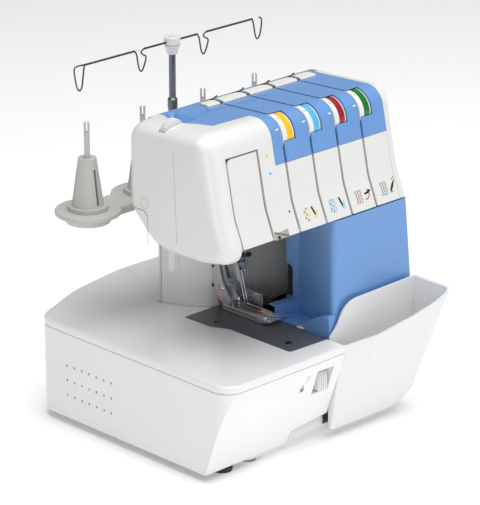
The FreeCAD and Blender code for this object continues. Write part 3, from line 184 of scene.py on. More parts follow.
class Shape:
    """Closed solids gathered into one piece, in millimetres, with a finish number for each face."""

    def __init__(self):
        self.points = []
        self.faces = []
        self.paint = []

    def add(self, points, faces, paint=0):
        start = len(self.points)
        self.points += [tuple(p) for p in points]
        self.faces += [tuple(start + i for i in face) for face in faces]
        self.paint += [paint] * len(faces)

    def block(self, low, high, paint=0, soft=0.0, turn=None, about=(0, 0, 0)):
        """Box between two corners with softened edges, turned by a matrix about a point."""
        form = bmesh.new()
        bmesh.ops.create_cube(form, size=1.0)
        for vert in form.verts:
            vert.co = Vector([low[i] + (vert.co[i] + 0.5) * (high[i] - low[i]) for i in range(3)])
        if soft > 0:
            bmesh.ops.bevel(form, geom=form.edges, offset=soft, segments=2, affect="EDGES", profile=0.5)
        if turn is not None:
            bmesh.ops.rotate(form, verts=form.verts, cent=about, matrix=turn)
        self.take(form, paint)

    def take(self, form, paint=0):
        form.verts.index_update()
        self.add([v.co for v in form.verts], [[v.index for v in f.verts] for f in form.faces], paint)
        form.free()

    def lathe(self, start, axis, profile, paints=None, count=32):
        """Turned solid: profile lists (distance along the axis, radius) from one end to the other."""
        axis = Vector(axis).normalized()
        side = axis.orthogonal().normalized()
        up = axis.cross(side)
        points = []
        for along, radius in profile:
            for i in range(count):
                angle = 2 * math.pi * i / count
                points.append(Vector(start) + axis * along + (side * math.cos(angle) + up * math.sin(angle)) * radius)
        rings = len(profile)
        for r in range(rings - 1):
            faces = [(r * count + i, r * count + (i + 1) % count, (r + 1) * count + (i + 1) % count, (r + 1) * count + i)
                     for i in range(count)]
            self.faces += [tuple(len(self.points) + k for k in face) for face in faces]
            self.paint += [paints[r] if paints else 0] * count
        first = len(self.points)
        self.points += [tuple(p) for p in points]
        self.faces.append(tuple(first + i for i in range(count))[::-1])
        self.faces.append(tuple(first + (rings - 1) * count + i for i in range(count)))
        self.paint += [paints[0] if paints else 0, paints[-1] if paints else 0]

    def prism(self, corners, place, low, high, paint=0, soft=0.0):
        """Flat outline raised between two levels; place(a, b, level) gives each point in space."""
        count = len(corners)
        form = bmesh.new()
        under = [form.verts.new(place(a, b, low)) for a, b in corners]
        over = [form.verts.new(place(a, b, high)) for a, b in corners]
        form.faces.new(over)
        form.faces.new(under[::-1])
        for i in range(count):
            form.faces.new((under[i], under[(i + 1) % count], over[(i + 1) % count], over[i]))
        if soft > 0:
            bmesh.ops.bevel(form, geom=form.edges, offset=soft, segments=2, affect="EDGES", profile=0.5)
        bmesh.ops.recalc_face_normals(form, faces=form.faces)
        self.take(form, paint)

    def tube(self, path, radius, paint=0, count=10, smooth=0):
        """Round wire along a path, with its corners eased when smooth is given."""
        way = [Vector(p) for p in path]
        for _ in range(smooth):
            eased = [way[0]]
            for i in range(len(way) - 1):
                eased += [way[i].lerp(way[i + 1], 0.25), way[i].lerp(way[i + 1], 0.75)]
            way = eased + [way[-1]]
        ways = []
        for i, spot in enumerate(way):
            ahead = (way[min(i + 1, len(way) - 1)] - way[max(i - 1, 0)]).normalized()
            ways.append((spot, ahead))
        side = ways[0][1].orthogonal().normalized()
        points = []
        for spot, ahead in ways:
            side = (side - ahead * side.dot(ahead)).normalized()
            up = ahead.cross(side)
            for i in range(count):
                angle = 2 * math.pi * i / count
                points.append(spot + (side * math.cos(angle) + up * math.sin(angle)) * radius)
        rings = len(way)
        faces = [(r * count + i, r * count + (i + 1) % count, (r + 1) * count + (i + 1) % count, (r + 1) * count + i)
                 for r in range(rings - 1) for i in range(count)]
        faces.append(tuple(range(count))[::-1])
        faces.append(tuple((rings - 1) * count + i for i in range(count)))
        self.add(points, faces, paint)

    def piece(self, name, body, slot, finishes, sharp=0.6):
        """Makes the mesh in metres, smooth except at sharp edges, and hangs it on its body."""
        mesh = bpy.data.meshes.new(name)
        mesh.from_pydata([tuple(c * 0.001 for c in p) for p in self.points], [], self.faces)
        for finish in finishes:
            mesh.materials.append(finish)
        mesh.polygons.foreach_set("material_index", self.paint)
        form = bmesh.new()
        form.from_mesh(mesh)
        bmesh.ops.recalc_face_normals(form, faces=form.faces)
        for face in form.faces:
            face.smooth = True
        for edge in form.edges:
            edge.smooth = len(edge.link_faces) == 2 and edge.calc_face_angle(0.0) < sharp
        form.to_mesh(mesh)
        form.free()
        thing = bpy.data.objects.new(name, mesh)
        bpy.context.scene.collection.objects.link(thing)
        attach(thing, body)
        return thing


def disc(radius, centre=(0, 0), count=24):
    turns = [2 * math.pi * i / count for i in range(count)]
    return [(centre[0] + radius * math.cos(turn), centre[1] + radius * math.sin(turn)) for turn in turns]


def stroke(a, b, width):
    """Thin bar from point a to point b, as an outline."""
    across = Vector((b[1] - a[1], a[0] - b[0])).normalized() * width / 2
    return [(a[0] + across.x, a[1] + across.y), (b[0] + across.x, b[1] + across.y),
            (b[0] - across.x, b[1] - across.y), (a[0] - across.x, a[1] - across.y)]


def plain_ink(name, colour, roughness=0.5):
    """Printed ink or a paint touch with a slightly uneven tone."""
    ink = bpy.data.materials.new(name)
    ink.use_nodes = True
    tree = ink.node_tree
    shader = tree.nodes["Principled BSDF"]
    place = tree.nodes.new("ShaderNodeTexCoord")
    cloud = tree.nodes.new("ShaderNodeTexNoise")
    cloud.inputs["Scale"].default_value = 900.0
    tree.links.new(place.outputs["Object"], cloud.inputs["Vector"])
    tint = tree.nodes.new("ShaderNodeMix")
    tint.data_type = "RGBA"
    tint.inputs["A"].default_value = (*[c * 0.9 for c in colour], 1)
    tint.inputs["B"].default_value = (*[min(1.0, c * 1.06) for c in colour], 1)
    tree.links.new(cloud.outputs["Fac"], tint.inputs["Factor"])
    tree.links.new(tint.outputs["Result"], shader.inputs["Base Color"])
    shader.inputs["Roughness"].default_value = roughness
    return ink


def lower_front(x, z, lift):
    """Point on the leaning lower front, lift mm proud of it."""
    lean = math.atan2(12, 28)
    return (x, -99 + (z - 208) * 12 / 28 - lift * math.cos(lean), z + lift * math.sin(lean) * -1)


def upper_front(x, z, lift):
    """Point on the upper front, lift mm proud of it."""
    return (x, -87 + (z - 236) * 16 / 75 - lift, z)


def head_left(y, z, lift):
    """Point on the head's flat left face."""
    return (-114 - lift, y, z)


def on_top(x, y, lift):
    """Point on the casing's top, which rises towards the front."""
    return (x, y, 306 + (24 - y) * 5 / 95 + lift)


white_abs = moulded_finish("white_abs", (0.80, 0.80, 0.79), 0.30, coat=0.25)
for node in ("head_cover", "front_panels", "column_cover", "rear_cover", "right_end_cover", "bed_casing", "base_plate",
             "cutter_cover", "needle_thread_cover", "switch_frame"):
    refined(node, "machine", white_abs)

# --- Seams and small fittings of the head -----------------------------------------
# A moulding seam runs down the left face, with a plugged screw hole and the outline of the cutter flap
# behind it. A pale bracket with one screw and a painted shadow across it shows at the foot of the front, and two colour
# dots mark thread paths.
seam_grey = plain_ink("seam_grey", (0.36, 0.36, 0.35))
dark_gap = plain_ink("dark_gap", (0.012, 0.012, 0.014))
# Dark grey for the painted shadow across the bracket and for a small dark spot on the front.
shadow_and_gap_grey = plain_ink("shadow_and_gap_grey", (0.10, 0.10, 0.095))
bracket_grey = plain_ink("bracket_grey", (0.40, 0.40, 0.36), 0.4)
yellow_ink = plain_ink("yellow_ink", (0.95, 0.66, 0.02))
cyan_ink = plain_ink("cyan_ink", (0.10, 0.50, 0.85))
trim = Shape()
seam = [(-31.5, 292), (-33, 270), (-34.5, 240), (-35.5, 215), (-35.5, 204)]
for i in range(4):
    trim.prism(stroke(seam[i], seam[i + 1], 0.35), head_left, -0.2, 0.05, 0)
ring = disc(5.0, (6.3, 233), 32)
for i in range(32):
    trim.prism(stroke(ring[i], ring[(i + 1) % 32], 0.4), head_left, -0.2, 0.05, 0)
flap_edge = [(2.5, 192), (2.5, 221), (5, 224.5), (9, 225.6), (20, 225.6), (27, 225.6)]
for i in range(5):
    trim.prism(stroke(flap_edge[i], flap_edge[i + 1], 0.5), head_left, -0.2, 0.05, 0)
trim.prism([(-50.5, 208.2), (-33.5, 208.2), (-33.5, 214.6), (-44, 213.4), (-50.5, 215.2)], lower_front, -0.3, 0.5, 2)
# Painted shadow: a dark diagonal stroke across the bracket.
trim.prism(stroke((-49.5, 214.6), (-34.2, 209.0), 0.9), lower_front, -0.2, 0.75, 1)
trim.prism(disc(1.5, (-46.2, 209.9), 16), lower_front, -0.2, 0.95, 3)
trim.prism(disc(1.5, (-41.7, 281), 20), upper_front, -0.3, 0.06, 4)
trim.prism(disc(1.4, (-40.2, 264.7), 20), upper_front, -0.3, 0.06, 5)
trim.prism(disc(1.0, (-25.5, 227.5), 16), lower_front, -0.3, 0.3, 1)
trim.piece("head_trim", "machine", "white_plastic", [seam_grey, shadow_and_gap_grey, bracket_grey, dark_gap, yellow_ink, cyan_ink])

# --- Threading pictograms -----------------------------------------------------------
# Each front panel carries two small printed signs in its thread's colour: a column of chain loops, and the
# needle or looper that the thread goes to.
black_ink = plain_ink("black_ink", (0.015, 0.015, 0.015))
red_ink = plain_ink("red_ink", (0.48, 0.035, 0.02))
green_ink = plain_ink("green_ink", (0.01, 0.28, 0.05))
signs = Shape()
for x, ink in ((-5.2, 0), (28.3, 1), (62.9, 2), (96.5, 3)):
    for column in range(3):
        for row in range(5):
            a = x - 3.2 + column * 3.0 + (0.5 if row % 2 else 0)
            b = 215.4 + row * 2.4
            signs.prism(disc(1.05, (a, b), 8), lower_front, -0.3, 0.05, 4 if (row + column) % 2 and column < 2 else ink)
            signs.prism(disc(0.5, (a, b), 8), lower_front, -0.3, 0.08, 5)
for x, ink in ((4.1, 0), (39.9, 1)):
    signs.prism(stroke((x - 2.4, 225.6), (x + 0.6, 217.6), 2.1), lower_front, -0.3, 0.05, 4)
    signs.prism(stroke((x - 1.2, 218.4), (x + 1.6, 215.0), 1.4), lower_front, -0.3, 0.07, ink)
    signs.prism(stroke((x + 2.6, 222.0), (x + 2.9, 216.2), 1.0), lower_front, -0.3, 0.05, ink)
arc = [(70.3, 217.2), (72.4, 216.2), (75.0, 217.6), (77.2, 220.4)]
for i in range(3):
    signs.prism(stroke(arc[i], arc[i + 1], 1.0), lower_front, -0.3, 0.05, 2)
signs.prism(stroke((70.6, 221.2), (76.0, 222.2), 1.8), lower_front, -0.3, 0.06, 4)
signs.prism([(75.2, 220.2), (79.6, 223.4), (74.6, 224.6)], lower_front, -0.3, 0.06, 4)
blade = [(103.4, 216.6), (104.8, 215.8), (108.2, 218.8), (112.2, 224.6), (111.6, 225.4), (107.0, 221.8)]
signs.prism(blade, lower_front, -0.3, 0.05, 4)
signs.prism(stroke((108.6, 225.4), (112.8, 228.2), 0.9), lower_front, -0.3, 0.05, 3)
signs.prism(stroke((104.0, 215.2), (107.4, 216.0), 0.9), lower_front, -0.3, 0.06, 3)
panel_white = plain_ink("panel_white", (0.83, 0.83, 0.82), 0.35)
signs.piece("threading_signs", "machine", "white_plastic", [yellow_ink, cyan_ink, red_ink, green_ink, black_ink, panel_white])

# --- Blue covers ------------------------------------------------------------------
# The band over the top and the swing-away looper cover are moulded in cornflower blue with a satin face.
blue_abs = moulded_finish("blue_abs", (0.150, 0.335, 0.70), 0.30, coat=0.35, tone=0.05, edge_highlight=0.10)
refined("top_cover", "machine", blue_abs)
refined("looper_cover", "front_cover", blue_abs)

# --- Marks on the blue top ----------------------------------------------------------
# Fine engraved lines show the thread's way beside the slots, and a white tick stands left of each dial.
engraved_blue = plain_ink("engraved_blue", (0.035, 0.085, 0.26))
marks = Shape()
ways = (((-39.7, 4.8), (-42.5, -3.5), (-49.4, -6.8), (-63.3, -7.6)),
        ((-43.0, -4.5), (-39.7, -7.7), (-29.3, -7.4), (-22.0, -10.2)),
        ((-11.8, -7.8), (-1.0, -9.9), (12.2, -12.2)), ((21.9, -4.3), (24.0, -9.8), (31.7, -6.7)))
for way in ways:
    for i in range(len(way) - 1):
        marks.prism(stroke(way[i], way[i + 1], 0.55), on_top, -0.3, 0.04, 0)
slot_places = (-19.0, 15.5, 49.0, 82.0)
for slot_x in slot_places:
    marks.prism([(slot_x - 6.4, 299.4), (slot_x - 2.9, 300.3), (slot_x - 2.9, 301.0), (slot_x - 6.4, 300.9)],
                lambda x, z, lift: (x, -72.6 + (z - 300) * 0.42 - lift, z), -0.6, 0.25, 1)
marks.piece("top_marks", "machine", "blue_plastic", [engraved_blue, panel_white])

# --- Looper cover details -----------------------------------------------------------
# The fence's flange has a row of fine ribs. Behind it a dark knob and a cream plate belong to the cutter.
dark_metal_ink = plain_ink("dark_metal_ink", (0.05, 0.045, 0.04), 0.35)
cream_ink = plain_ink("cream_ink", (0.80, 0.77, 0.70), 0.4)


def repeated(name, thing, count, step, finish):
    """Row of copies of a thing, made by a node tree with a count and a step."""
    tree = bpy.data.node_groups.new(name, "GeometryNodeTree")
    tree.interface.new_socket("Geometry", in_out="OUTPUT", socket_type="NodeSocketGeometry")
    numbers = tree.interface.new_socket("Count", in_out="INPUT", socket_type="NodeSocketInt")
    strides = tree.interface.new_socket("Step", in_out="INPUT", socket_type="NodeSocketVector")
    things = tree.interface.new_socket("Thing", in_out="INPUT", socket_type="NodeSocketObject")
    paints = tree.interface.new_socket("Finish", in_out="INPUT", socket_type="NodeSocketMaterial")
    inputs = tree.nodes.new("NodeGroupInput")
    line = tree.nodes.new("GeometryNodeMeshLine")
    info = tree.nodes.new("GeometryNodeObjectInfo")
    place = tree.nodes.new("GeometryNodeInstanceOnPoints")
    real = tree.nodes.new("GeometryNodeRealizeInstances")
    colour = tree.nodes.new("GeometryNodeSetMaterial")
    output = tree.nodes.new("NodeGroupOutput")
    tree.links.new(inputs.outputs["Count"], line.inputs["Count"])
    tree.links.new(inputs.outputs["Step"], line.inputs["Offset"])
    tree.links.new(inputs.outputs["Thing"], info.inputs["Object"])
    tree.links.new(line.outputs["Mesh"], place.inputs["Points"])
    tree.links.new(info.outputs["Geometry"], place.inputs["Instance"])
    tree.links.new(place.outputs["Instances"], real.inputs["Geometry"])
    tree.links.new(real.outputs["Geometry"], colour.inputs["Geometry"])
    tree.links.new(inputs.outputs["Finish"], colour.inputs["Material"])
    tree.links.new(colour.outputs["Geometry"], output.inputs["Geometry"])
    holder = bpy.data.objects.new(name, bpy.data.meshes.new(name + "_seed"))
    bpy.context.scene.collection.objects.link(holder)
    modifier = holder.modifiers.new("row", "NODES")
    modifier.node_group = tree
    modifier[numbers.identifier] = count
    modifier[strides.identifier] = step
    modifier[things.identifier] = thing
    modifier[paints.identifier] = finish
    bpy.context.view_layer.update()
    mesh = bpy.data.meshes.new_from_object(holder.evaluated_get(bpy.context.evaluated_depsgraph_get()))
    mesh.name = name
    holder.modifiers.clear()
    holder.data = mesh
    bpy.data.objects.remove(thing)
    return holder


def seed_mesh(shape, name):
    """Mesh of a shape on its own object, to be repeated."""
    mesh = bpy.data.meshes.new(name)
    mesh.from_pydata([tuple(c * 0.001 for c in p) for p in shape.points], [], shape.faces)
    form = bmesh.new()
    form.from_mesh(mesh)
    bmesh.ops.recalc_face_normals(form, faces=form.faces)
    form.to_mesh(mesh)
    form.free()
    thing = bpy.data.objects.new(name, mesh)
    bpy.context.scene.collection.objects.link(thing)
    return thing


rib = Shape()
rib.block((14.0, -37.4, 111.9), (15.1, -34.2, 112.7), soft=0.3)
ribs = repeated("fence_ribs", seed_mesh(rib, "rib_seed"), 11, (0.0021, -0.0003, 0), blue_abs)
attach(ribs, "front_cover")
cutter = Shape()
cutter.lathe((20.5, -15.5, 104), (0, 0, 1), [(0, 3.4), (5.2, 3.4), (5.8, 2.9), (6.8, 2.9), (7.2, 2.4)], count=20)
cutter.block((20, -20, 107.4), (30, -16, 109.6), 0, 0.4)
cutter.block((17.5, -28, 106.2), (29, -22, 107.4), 1, 0.3)
cutter.block((5.9, -77.5, 99.6), (9.6, -69.5, 101.1), 1, 0.5)
cutter.piece("cutter_knob", "machine", "dark_metal", [dark_metal_ink, cream_ink])

# --- Extension table ----------------------------------------------------------------
# The table slides on round the free arm. Its lid is glossy white, its body satin, with rows of air holes
# in the left side. The latch slider sits in a recess of the front, beside a small printed padlock.
table_abs = moulded_finish("table_abs", (0.88, 0.88, 0.88), 0.20, grain=0.02, coat=0.5)
for node, body in (("table_lid", "table"), ("table_body", "table"), ("table_latch", "latch")):
    refined(node, body, table_abs)


def table_front(x, z, lift):
    """Point on the sloping front of the table."""
    return (x, -133.5 + (93 - z) * 29 / 85 - lift * 0.946, z - lift * 0.323)


padlock = Shape()
padlock.prism([(-45.0, 65.4), (-40.6, 65.4), (-40.6, 69.6), (-45.0, 69.6)], table_front, -0.3, 0.05, 0)
shackle = ((-44.0, 69.6), (-44.0, 71.6), (-42.8, 72.6), (-41.6, 71.6), (-41.6, 69.6))
for a, b in zip(shackle, shackle[1:]):
    padlock.prism(stroke(a, b, 0.7), table_front, -0.3, 0.05, 0)
padlock.prism(stroke((-39.4, 74.6), (-37.6, 79.0), 0.7), table_front, -0.3, 0.05, 0)
padlock.prism([(-38.4, 79.0), (-36.8, 79.4), (-37.2, 81.6)], table_front, -0.3, 0.05, 0)
sign_grey = plain_ink("sign_grey", (0.20, 0.20, 0.20))
padlock.piece("padlock_sign", "table", "white_plastic", [sign_grey])

# --- Waste bin ------------------------------------------------------------------------
# The trim bin is a thin frosted shell that hangs on the front under the looper cover.
frosted = moulded_finish("frosted_bin", (0.84, 0.84, 0.84), 0.42, grain=0.08, tone=0.03)
refined("waste_bin", "bin", frosted)

# --- Cone stand ---------------------------------------------------------------------
# Tray, cone holders and spool pins are warm grey polypropylene with a dull moulded grain. The pins are
# paler and let a little light through.
stand_grey = moulded_finish("stand_grey", (0.55, 0.54, 0.51), 0.45, grain=0.12)
for node in ("spool_tray", "cone_holders"):
    refined(node, "machine", stand_grey)
pin_grey = moulded_finish("pin_grey", (0.68, 0.68, 0.66), 0.35, grain=0.05, see_through=0.25)
refined("spool_pins", "machine", pin_grey)

# --- Thread antenna -------------------------------------------------------------------
# A two-stage tube of smoked chrome, with a dimpled collar on the lower stage, and a white cap that holds
# the guide bar. The bar is one bent spring-steel wire with four open thread loops.


def metal_finish(name, colour, roughness, lines=(900, 60, 900), depth=0.12, metallic=1.0):
    """Ground or polished metal: fine streaks along one direction and cloudy wear."""
    finish = bpy.data.materials.new(name)
    finish.use_nodes = True
    tree = finish.node_tree
    shader = tree.nodes["Principled BSDF"]
    shader.inputs["Metallic"].default_value = metallic
    place = tree.nodes.new("ShaderNodeTexCoord")
    stretch = tree.nodes.new("ShaderNodeMapping")
    stretch.inputs["Scale"].default_value = lines
    tree.links.new(place.outputs["Object"], stretch.inputs["Vector"])
    streaks = tree.nodes.new("ShaderNodeTexNoise")
    streaks.inputs["Scale"].default_value = 1.0
    streaks.inputs["Detail"].default_value = 3.0
    tree.links.new(stretch.outputs["Vector"], streaks.inputs["Vector"])
    tint = tree.nodes.new("ShaderNodeMix")
    tint.data_type = "RGBA"
    tint.inputs["A"].default_value = (*[c * 0.86 for c in colour], 1)
    tint.inputs["B"].default_value = (*[min(1, c * 1.08) for c in colour], 1)
    tree.links.new(streaks.outputs["Fac"], tint.inputs["Factor"])
    tree.links.new(tint.outputs["Result"], shader.inputs["Base Color"])
    rough = tree.nodes.new("ShaderNodeMapRange")
    rough.inputs["To Min"].default_value = roughness * 0.75
    rough.inputs["To Max"].default_value = roughness * 1.3
    tree.links.new(streaks.outputs["Fac"], rough.inputs["Value"])
    tree.links.new(rough.outputs["Result"], shader.inputs["Roughness"])
    bump = tree.nodes.new("ShaderNodeBump")
    bump.inputs["Strength"].default_value = depth
    bump.inputs["Distance"].default_value = 0.00005
    tree.links.new(streaks.outputs["Fac"], bump.inputs["Height"])
    tree.links.new(bump.outputs["Normal"], shader.inputs["Normal"])
    return finish


smoked_chrome = metal_finish("smoked_chrome", (0.16, 0.18, 0.20), 0.2, (700, 700, 40), 0.05)
bright = metal_finish("bright_steel", (0.78, 0.78, 0.79), 0.2, (700, 700, 90), 0.04, 0.8)
wire_dark = metal_finish("dark_wire", (0.10, 0.085, 0.08), 0.35, (300, 300, 300), 0.05)
pole = Shape()
pole.lathe((-1.5, 88, 194), (0, 0, 1), [(0, 4.2), (84, 4.2), (86, 4.7), (94.5, 4.7), (95.5, 3.9), (96, 3.4)], count=40)
for level in (88.5, 92.5):
    for i in range(8):
        angle = math.pi / 4 * i + (0.4 if level > 90 else 0)
        out = (math.cos(angle), math.sin(angle), 0)
        pole.lathe((-1.5 + 4.5 * out[0], 88 + 4.5 * out[1], 194 + level), out,
                   [(0, 0.6), (0.35, 0.5), (0.5, 0.2)], count=8)
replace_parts(pole.piece("antenna_tube_lower", "machine", "bright_steel", [smoked_chrome]), "antenna_lower")
rod = Shape()
rod.lathe((-1.5, 88, 230), (0, 0, 1), [(0, 3.25), (103, 3.25)], count=32)
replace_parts(rod.piece("antenna_tube_upper", "antenna", "bright_steel", [smoked_chrome]), "antenna_upper")
refined("antenna_cap", "antenna", white_abs)
wire = Shape()
end_loop = [(-9, 0), (-11.5, -9), (-13, -20.5), (-16, -23.5), (-19.5, -20), (-22.3, -5), (-21.5, -0.3), (-17, 0.6), (-9, 0.3)]
centre_loop = [(0, 0), (1.6, -3), (3.6, -16), (6.6, -21.5), (9.8, -18.5), (13.6, -9), (12.6, -6.4), (8.6, -4.8), (7.6, -2), (12, 0)]


def wire_path(shape_points, x0, flip=1):
    return [(x0 + flip * a, 88 - 1.2 * (b < -2), 345 + b) for a, b in shape_points]


left_side = [(-102.4 + a, b) for a, b in end_loop]
wire.tube([(x, 88 - 1.0 * (b < -2), 345 + b) for x, b in left_side], 0.75, count=8, smooth=2)
wire.tube([(-112, 88, 345), (-49, 88, 345)], 1.0, count=10)
wire.tube(wire_path(centre_loop, -49.2), 0.75, count=8, smooth=2)
wire.tube([(-37.4, 88, 345), (-8, 88, 345)], 1.0, count=10)
wire.tube([(5, 88, 345), (31, 88, 345)], 1.0, count=10)
wire.tube(wire_path(centre_loop, 30.8), 0.75, count=8, smooth=2)
wire.tube([(42.6, 88, 345), (104, 88, 345)], 1.0, count=10)
wire.tube([(103.4, 88, 345), (105, 87.5, 341), (107, 87, 327), (110, 87, 323.6), (113, 87, 327), (116, 87.5, 337), (116.4, 88, 343.4),
           (113, 88, 345)], 0.75, count=8, smooth=2)
wire.lathe((-1.5, 88, 342.4), (0, 0, 1), [(0, 7.6), (0.4, 7.9), (6.6, 7.9), (7.0, 7.6)], [1, 1, 1], count=40)
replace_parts(wire.piece("guide_wire", "thread_bar", "bright_steel", [wire_dark, white_abs]), "guide_bar")

# --- Tension dials --------------------------------------------------------------------------
# Four hollow thumb dials show through windows in the blue band. Each has a white scale with small
# numerals on its left, a smooth band in its thread's colour, and a thin cream rim.
dial_colours = {
    1: ("yellow", (0.95, 0.55, 0.008)),
    2: ("cyan", (0.085, 0.50, 0.82)),
    3: ("red", (0.33, 0.006, 0.012)),
    4: ("green", (0.002, 0.18, 0.022)),
}
dial_axis = (-56.0, 290.3)
scale_radius = 19.1
numeral_height = 3.2
step_angle = 15.5
scale_white = moulded_finish("scale_white", (0.80, 0.80, 0.79), 0.35)
rim_cream = moulded_finish("rim_cream", (0.82, 0.79, 0.72), 0.35)


def numeral(text, size):
    """Flat mesh of a numeral in millimetres, centred on its origin."""
    curve = bpy.data.curves.new("numeral", "FONT")
    curve.body = text
    curve.size = size
    curve.align_x = "CENTER"
    curve.align_y = "CENTER"
    curve.extrude = 0.03
    curve.resolution_u = 2
    holder = bpy.data.objects.new("numeral", curve)
    bpy.context.scene.collection.objects.link(holder)
    bpy.context.view_layer.update()
    mesh = bpy.data.meshes.new_from_object(holder.evaluated_get(bpy.context.evaluated_depsgraph_get()))
    points = [tuple(v.co) for v in mesh.vertices]
    faces = [tuple(p.vertices) for p in mesh.polygons]
    bpy.data.objects.remove(holder)
    bpy.data.curves.remove(curve)
    bpy.data.meshes.remove(mesh)
    return points, faces


numerals = [numeral(str(n), numeral_height) for n in range(10)]
for number, slot_x in zip((1, 2, 3, 4), slot_places):
    name, colour = dial_colours[number]
    band = moulded_finish(name + "_band", colour, 0.30, coat=0.3, tone=0.06, edge_highlight=0.08)
    x = slot_x + 0.6
    dial = Shape()
    profile = [(0.0, 11.2), (0.0, 18.3), (0.25, 18.8), (0.9, scale_radius), (5.5, scale_radius), (5.7, 18.95),
               (12.7, 18.95), (12.9, scale_radius), (13.7, scale_radius),
               (14.35, 18.8), (14.6, 18.3), (14.6, 16.3), (5.0, 16.3), (5.0, 3.2), (1.6, 3.2), (1.6, 11.2)]
    count = 96
    for r in range(len(profile)):
        a = profile[r]
        b = profile[(r + 1) % len(profile)]
        for i in range(count):
            t0 = 2 * math.pi * i / count
            t1 = 2 * math.pi * (i + 1) / count
            corner = lambda p, t: (x + p[0], dial_axis[0] + p[1] * math.cos(t), dial_axis[1] + p[1] * math.sin(t))
            dial.add([corner(a, t0), corner(b, t0), corner(b, t1), corner(a, t1)], [(0, 1, 2, 3)],
                     1 if r in (5, 6) else 2 if r in (7, 8, 9, 10) else 0)
    for n in range(20):
        angle = math.radians(200 + step_angle * n)
        across = (math.cos(angle), math.sin(angle))
        if n % 2 == 0:
            points, faces = numerals[n // 2]
            print_radius = scale_radius + 0.01
            dial.add([(x + 2.5 + p[0],
                       dial_axis[0] + across[0] * (print_radius + p[2]) + across[1] * p[1],
                       dial_axis[1] + across[1] * (print_radius + p[2]) - across[0] * p[1]) for p in points], faces, 3)
        tick = 1.3 if n % 2 == 0 else 0.8
        place = lambda u, v, lift: (x + u, dial_axis[0] + across[0] * (scale_radius + lift) - across[1] * v,
                                    dial_axis[1] + across[1] * (scale_radius + lift) + across[0] * v)
        dial.prism([(5.3 - tick, -0.16), (5.3, -0.16), (5.3, 0.16), (5.3 - tick, 0.16)], place, -0.2, 0.05, 3)
    piece = dial.piece(f"dial_{number}_face", f"dial_{number}", name + "_dial", [scale_white, band, rim_cream, black_ink])
    form = bmesh.new()
    form.from_mesh(piece.data)
    bmesh.ops.remove_doubles(form, verts=form.verts, dist=1e-6)
    bmesh.ops.recalc_face_normals(form, faces=form.faces)
    for edge in form.edges:
        edge.smooth = len(edge.link_faces) == 2 and edge.calc_face_angle(0.0) < 0.6
    form.to_mesh(piece.data)
    form.free()
    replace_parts(piece, f"tension_dial_{number}")

# --- Rear thread guides ----------------------------------------------------------------
# Cream guide plates close the channel across the top. At each slot a short black wire leads the thread in.
cream = moulded_finish("cream_plastic", (0.74, 0.73, 0.69), 0.38, grain=0.05)
refined("rear_guides", "machine", cream)
refined("pressure_thumbwheel", "pressure_wheel", scale_white)
guides = Shape()
for i, slot_x in enumerate(slot_places):
    guides.block((slot_x - 8.5, 14.7, 306.2), (slot_x + 1.5, 16.6, 308.9), 0, 0.5)
    guides.tube([(slot_x - 1, 15.5, 308.2), (slot_x + 2, 15.2, 309.4), (slot_x + 4.5, 14.2, 311.2)], 0.7, smooth=1, count=8)
    guides.tube([(slot_x - 0.5, 13.5, 307.6), (slot_x, 8, 307.9), (slot_x - 0.4, 3.2, 307.5)], 0.55, count=8)
    guides.block((slot_x - 1.9, 1.0, 305.0), (slot_x + 1.9, 3.0, 306.95), 0, 0.2)
    if i == 2:
        guides.block((slot_x - 0.5, 13.6, 307.2), (slot_x + 3.5, 14.9, 308.6), 1, 0.3)
guides.piece("guide_wires", "machine", "black_plastic", [dark_metal_ink, red_ink])

# --- Dark fittings -----------------------------------------------------------------------
# The inner frame that closes the threading slots, the switch, inlet and rubber parts.
black_abs = moulded_finish("black_abs", (0.018, 0.018, 0.02), 0.45, grain=0.15, edge_highlight=0.08)
for node, body in (("tension_bracket", "machine"), ("power_switch", "switch"), ("power_inlet", "machine")):
    refined(node, body, black_abs)
rubber = moulded_finish("black_rubber", (0.03, 0.03, 0.03), 0.75, grain=0.3)
for node, body in (("machine_feet", "machine"), ("table_feet", "table"), ("drive_belt", "machine")):
    refined(node, body, rubber)

# --- Handwheel and setting dials -----------------------------------------------------------
# The white handwheel and the two grey knurled setting dials stand on the right end.
refined("handwheel", "drive", white_abs)
refined("presser_lifter", "lifter", white_abs)
dial_grey = moulded_finish("dial_grey", (0.62, 0.62, 0.62), 0.45, grain=0.1)
refined("stitch_length_dial", "stitch_dial", dial_grey)
refined("differential_dial", "diff_dial", dial_grey)

ground = metal_finish("ground_steel", (0.52, 0.53, 0.55), 0.3, metallic=0.55)

# --- Needle plate --------------------------------------------------------------------------
# Ground steel plate, dark from its fine brushing, with polished screws and the toothed feed bars.
plate_steel = metal_finish("plate_steel", (0.155, 0.16, 0.17), 0.42, (2200, 90, 900), metallic=0.5)
refined("needle_plate", "machine", plate_steel)
refined("feed_dogs", "feed", plate_steel)
refined("plate_screws", "machine", smoked_chrome)

